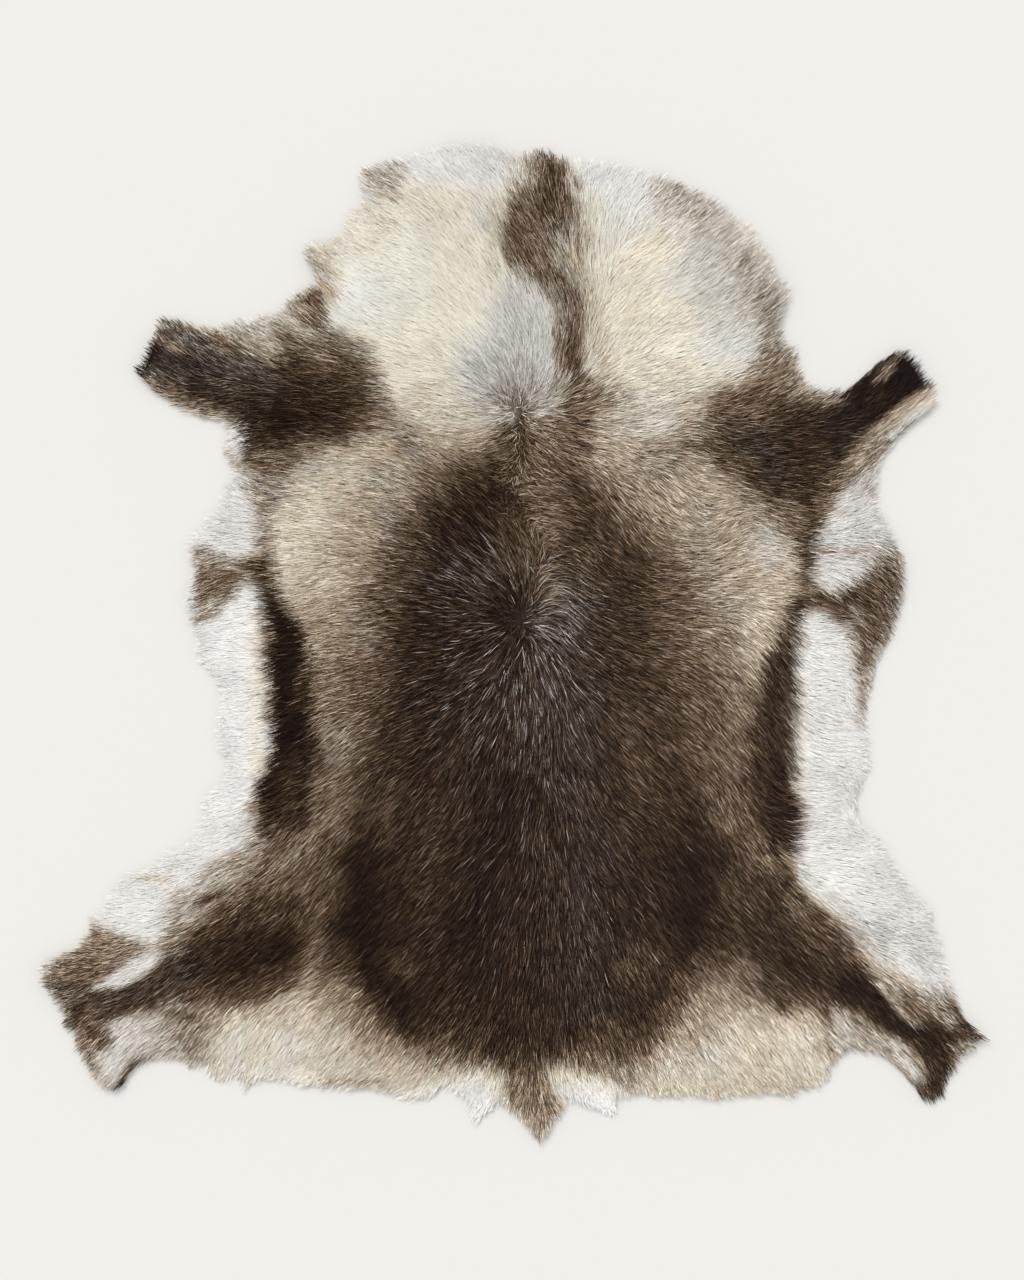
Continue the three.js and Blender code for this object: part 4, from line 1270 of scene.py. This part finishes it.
# The long coat covers the whole hide; it is kept as six pieces, from the neck to the rump.
LOCKS = 405000
lock_places = scattered(LOCKS, 5 * MM, 11)
NECK_LINE = 250 * MM
RUMP_LINE = -235 * MM
BACK_HALF = 150 * MM
x_places, y_places = lock_places[:, 0], lock_places[:, 1]
trunk = (y_places <= NECK_LINE) & (y_places > RUMP_LINE)
REGIONS = {
    "coat_neck": y_places > NECK_LINE,
    "coat_left_flank": trunk & (x_places < -BACK_HALF),
    "coat_back": trunk & (np.abs(x_places) <= BACK_HALF),
    "coat_right_flank": trunk & (x_places > BACK_HALF),
    "coat_left_rump": (y_places <= RUMP_LINE) & (x_places < 0),
    "coat_right_rump": (y_places <= RUMP_LINE) & (x_places >= 0),
}
fur = []
for seed, (name, chosen) in enumerate(REGIONS.items(), 100):
    piece = joined_blades(name, *grow(lock_places[chosen], seed), blade(1))
    fur.append(piece)

# ---------------------------------------------------------------------------------------------
# Guard hairs: long single hairs that stand out from the coat. Silver ones ring the whorl in the
# middle of the back and thin out along the spine; dark ones streak the grey ridge of the neck.
SILVER_PLACES = [  # middle x, y, spread x, y in millimetres, and share of the silver hairs
    (-46, 66, 30, 26, 0.22), (48, 46, 20, 32, 0.30), (24, -40, 34, 40, 0.30), (-50, -40, 40, 34, 0.10),
]
GREY_PLACES = [
    (24, -90, 40, 50, 0.12), (-70, -90, 46, 50, 0.12), (50, -190, 46, 80, 0.2),
    (-60, -250, 60, 80, 0.14), (60, -330, 50, 60, 0.1), (90, -60, 60, 60, 0.08),
    (-222, -120, 16, 22, 0.02), (-250, 222, 16, 14, 0.01), (0, -60, 130, 170, 0.13),
]
DARK_PLACES = [
    (-34, 318, 26, 22, 0.22), (6, 316, 20, 22, 0.12), (-40, 270, 30, 14, 0.12), (40, 300, 20, 20, 0.08),
    (170, 222, 60, 26, 0.16), (10, 360, 30, 40, 0.10), (-340, 130, 14, 14, 0.03),
    (-400, -455, 20, 16, 0.05), (270, -395, 36, 12, 0.12),
]


def strewn(places, count, seed):
    """Random places on the hide, gathered round the listed ones."""
    dice = np.random.default_rng(seed)
    spots = np.concatenate([
        dice.normal((x * MM, y * MM), (wide * MM, long * MM), (int(count * part), 2))
        for x, y, wide, long, part in places
    ])
    return spots[at(past_edge, spots[:, 0], spots[:, 1]) < -8 * MM]


guard_kinds = {
    "silver_guard_hairs": (strewn(SILVER_PLACES, 3000, 31), as_seen("8f8a84")),
    "grey_guard_hairs": (strewn(GREY_PLACES, 4400, 33), as_seen("6c655e")),
    "dark_guard_hairs": (strewn(DARK_PLACES, 1800, 32), as_seen("574c42")),
}
for seed, (name, (places, shade)) in enumerate(guard_kinds.items(), 200):
    grown = grow(places, seed, long=24 * MM, wide=0.32 * MM, bends=(0.35, 0.7),
                 tuft=(3 * MM, 1.2 * MM), lift=(0.84, 0.97), shade=shade)
    fur.append(joined_blades(name, *grown, blade(2)))

# ---------------------------------------------------------------------------------------------
# The fringe: hairs rooted along the skin's edge, whose tips reach past the rest.
FRINGE_DEEP = 20 * MM
fringe_places = scattered(60000, 5 * MM, 41)
fringe_depth = at(past_edge, fringe_places[:, 0], fringe_places[:, 1])
fringe_hairs = grow(fringe_places[fringe_depth > -FRINGE_DEEP], 42, strands=2, long=26 * MM,
                    bends=(0.4, 0.86), overhang=(-4 * MM, 7 * MM), lift=(0.5, 0.7))
fur.append(joined_blades("edge_fringe", *fringe_hairs, blade(2)))

# ---------------------------------------------------------------------------------------------
# The underfur: the dense felted wool between the hairs, half as high as the coat. It closes the
# gaps between the long hairs, and its colour is darkened as painted shade for those deep gaps.
UNDERFUR_SHARE = 0.52
UNDERFUR_INSET = 7.5 * MM
UNDERFUR_GAP = 0.2 * MM  # above the skin
UNDERFUR_LEAST = 0.8 * MM  # its top stands at least this far above the skin
wool_low = under_face + SKIN_THICK + UNDERFUR_GAP
wool_high = under_face + np.maximum((top_face - under_face) * UNDERFUR_SHARE,
                                    SKIN_THICK + UNDERFUR_LEAST)
wool_sheet = cut_sheet(UNDERFUR_INSET, SKIN_CELL)
underfur = plain_mesh("underfur", thickened(wool_sheet, wool_low, wool_high))
wool_places = np.array([v.co[:2] for v in underfur.data.vertices])
wool_seen = at(coat_colour, wool_places[:, 0], wool_places[:, 1])
# painted shade: the wool takes the hair's darkened root colour, standing in for the shadow down between
# the strands
wool_seen = wool_seen * (painted_root_shade(wool_seen) + 0.05)[:, None]
wool_paint = underfur.data.color_attributes.new("coat", "FLOAT_COLOR", "POINT")
wool_rgba = np.concatenate([to_linear(wool_seen), np.ones((len(wool_seen), 1))], 1)
wool_paint.data.foreach_set("color", wool_rgba.reshape(-1).astype(np.float32))
underfur.data.materials.append(hair)

# ---------------------------------------------------------------------------------------------
# How the pieces belong together: they all lie as one on the hide's body.
for piece in [skin, underfur, *fur]:
    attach(piece, "root")
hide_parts("hide")

# ---------------------------------------------------------------------------------------------
# Floor, light and camera: a pale seamless floor, an even sky and one large soft light.
FLOOR_REACH = 30  # from the middle to each side, far enough for the lowest views
FLOOR_BELOW = 0.5 * MM
floor_mesh = bmesh.new()
bmesh.ops.create_grid(floor_mesh, x_segments=1, y_segments=1, size=FLOOR_REACH)
bmesh.ops.translate(floor_mesh, vec=(0, 0, hide_low.z - FLOOR_BELOW), verts=floor_mesh.verts)
floor = plain_mesh("floor", floor_mesh)
paper = bpy.data.materials.new("pale_paper_floor")
paper.use_nodes = True
paper_shader = paper.node_tree.nodes["Principled BSDF"]
paper_shader.inputs["Base Color"].default_value = linear("cccbc7")
paper_shader.inputs["Roughness"].default_value = 0.95
paper_shader.inputs["Specular IOR Level"].default_value = 0.0
floor.data.materials.append(paper)

world = bpy.data.worlds.new("studio")
bpy.context.scene.world = world
world.use_nodes = True
sky = world.node_tree.nodes["Background"]
sky.inputs["Color"].default_value = (1.0, 1.0, 1.0, 1.0)
sky.inputs["Strength"].default_value = 0.92

key = bpy.data.lights.new("key", "SUN")
key.energy = 2.3
key.angle = math.radians(30)
key_object = bpy.data.objects.new("key", key)
key_object.rotation_euler = (math.radians(-38), math.radians(-22), 0)
bpy.context.scene.collection.objects.link(key_object)

camera = bpy.data.cameras.new("camera")
VIEW_LONG = 1.536  # the floor that the frame's long side takes in
LENS = 110
FILM = 36
camera.lens = LENS
camera.sensor_width = FILM
camera_object = bpy.data.objects.new("camera", camera)
middle_of_view = Vector((-0.006, 0.0036, 0))
camera_object.location = middle_of_view + Vector((0, 0, VIEW_LONG * LENS / FILM))
bpy.context.scene.collection.objects.link(camera_object)
bpy.context.scene.camera = camera_object
bpy.context.scene.view_settings.view_transform = "Standard"
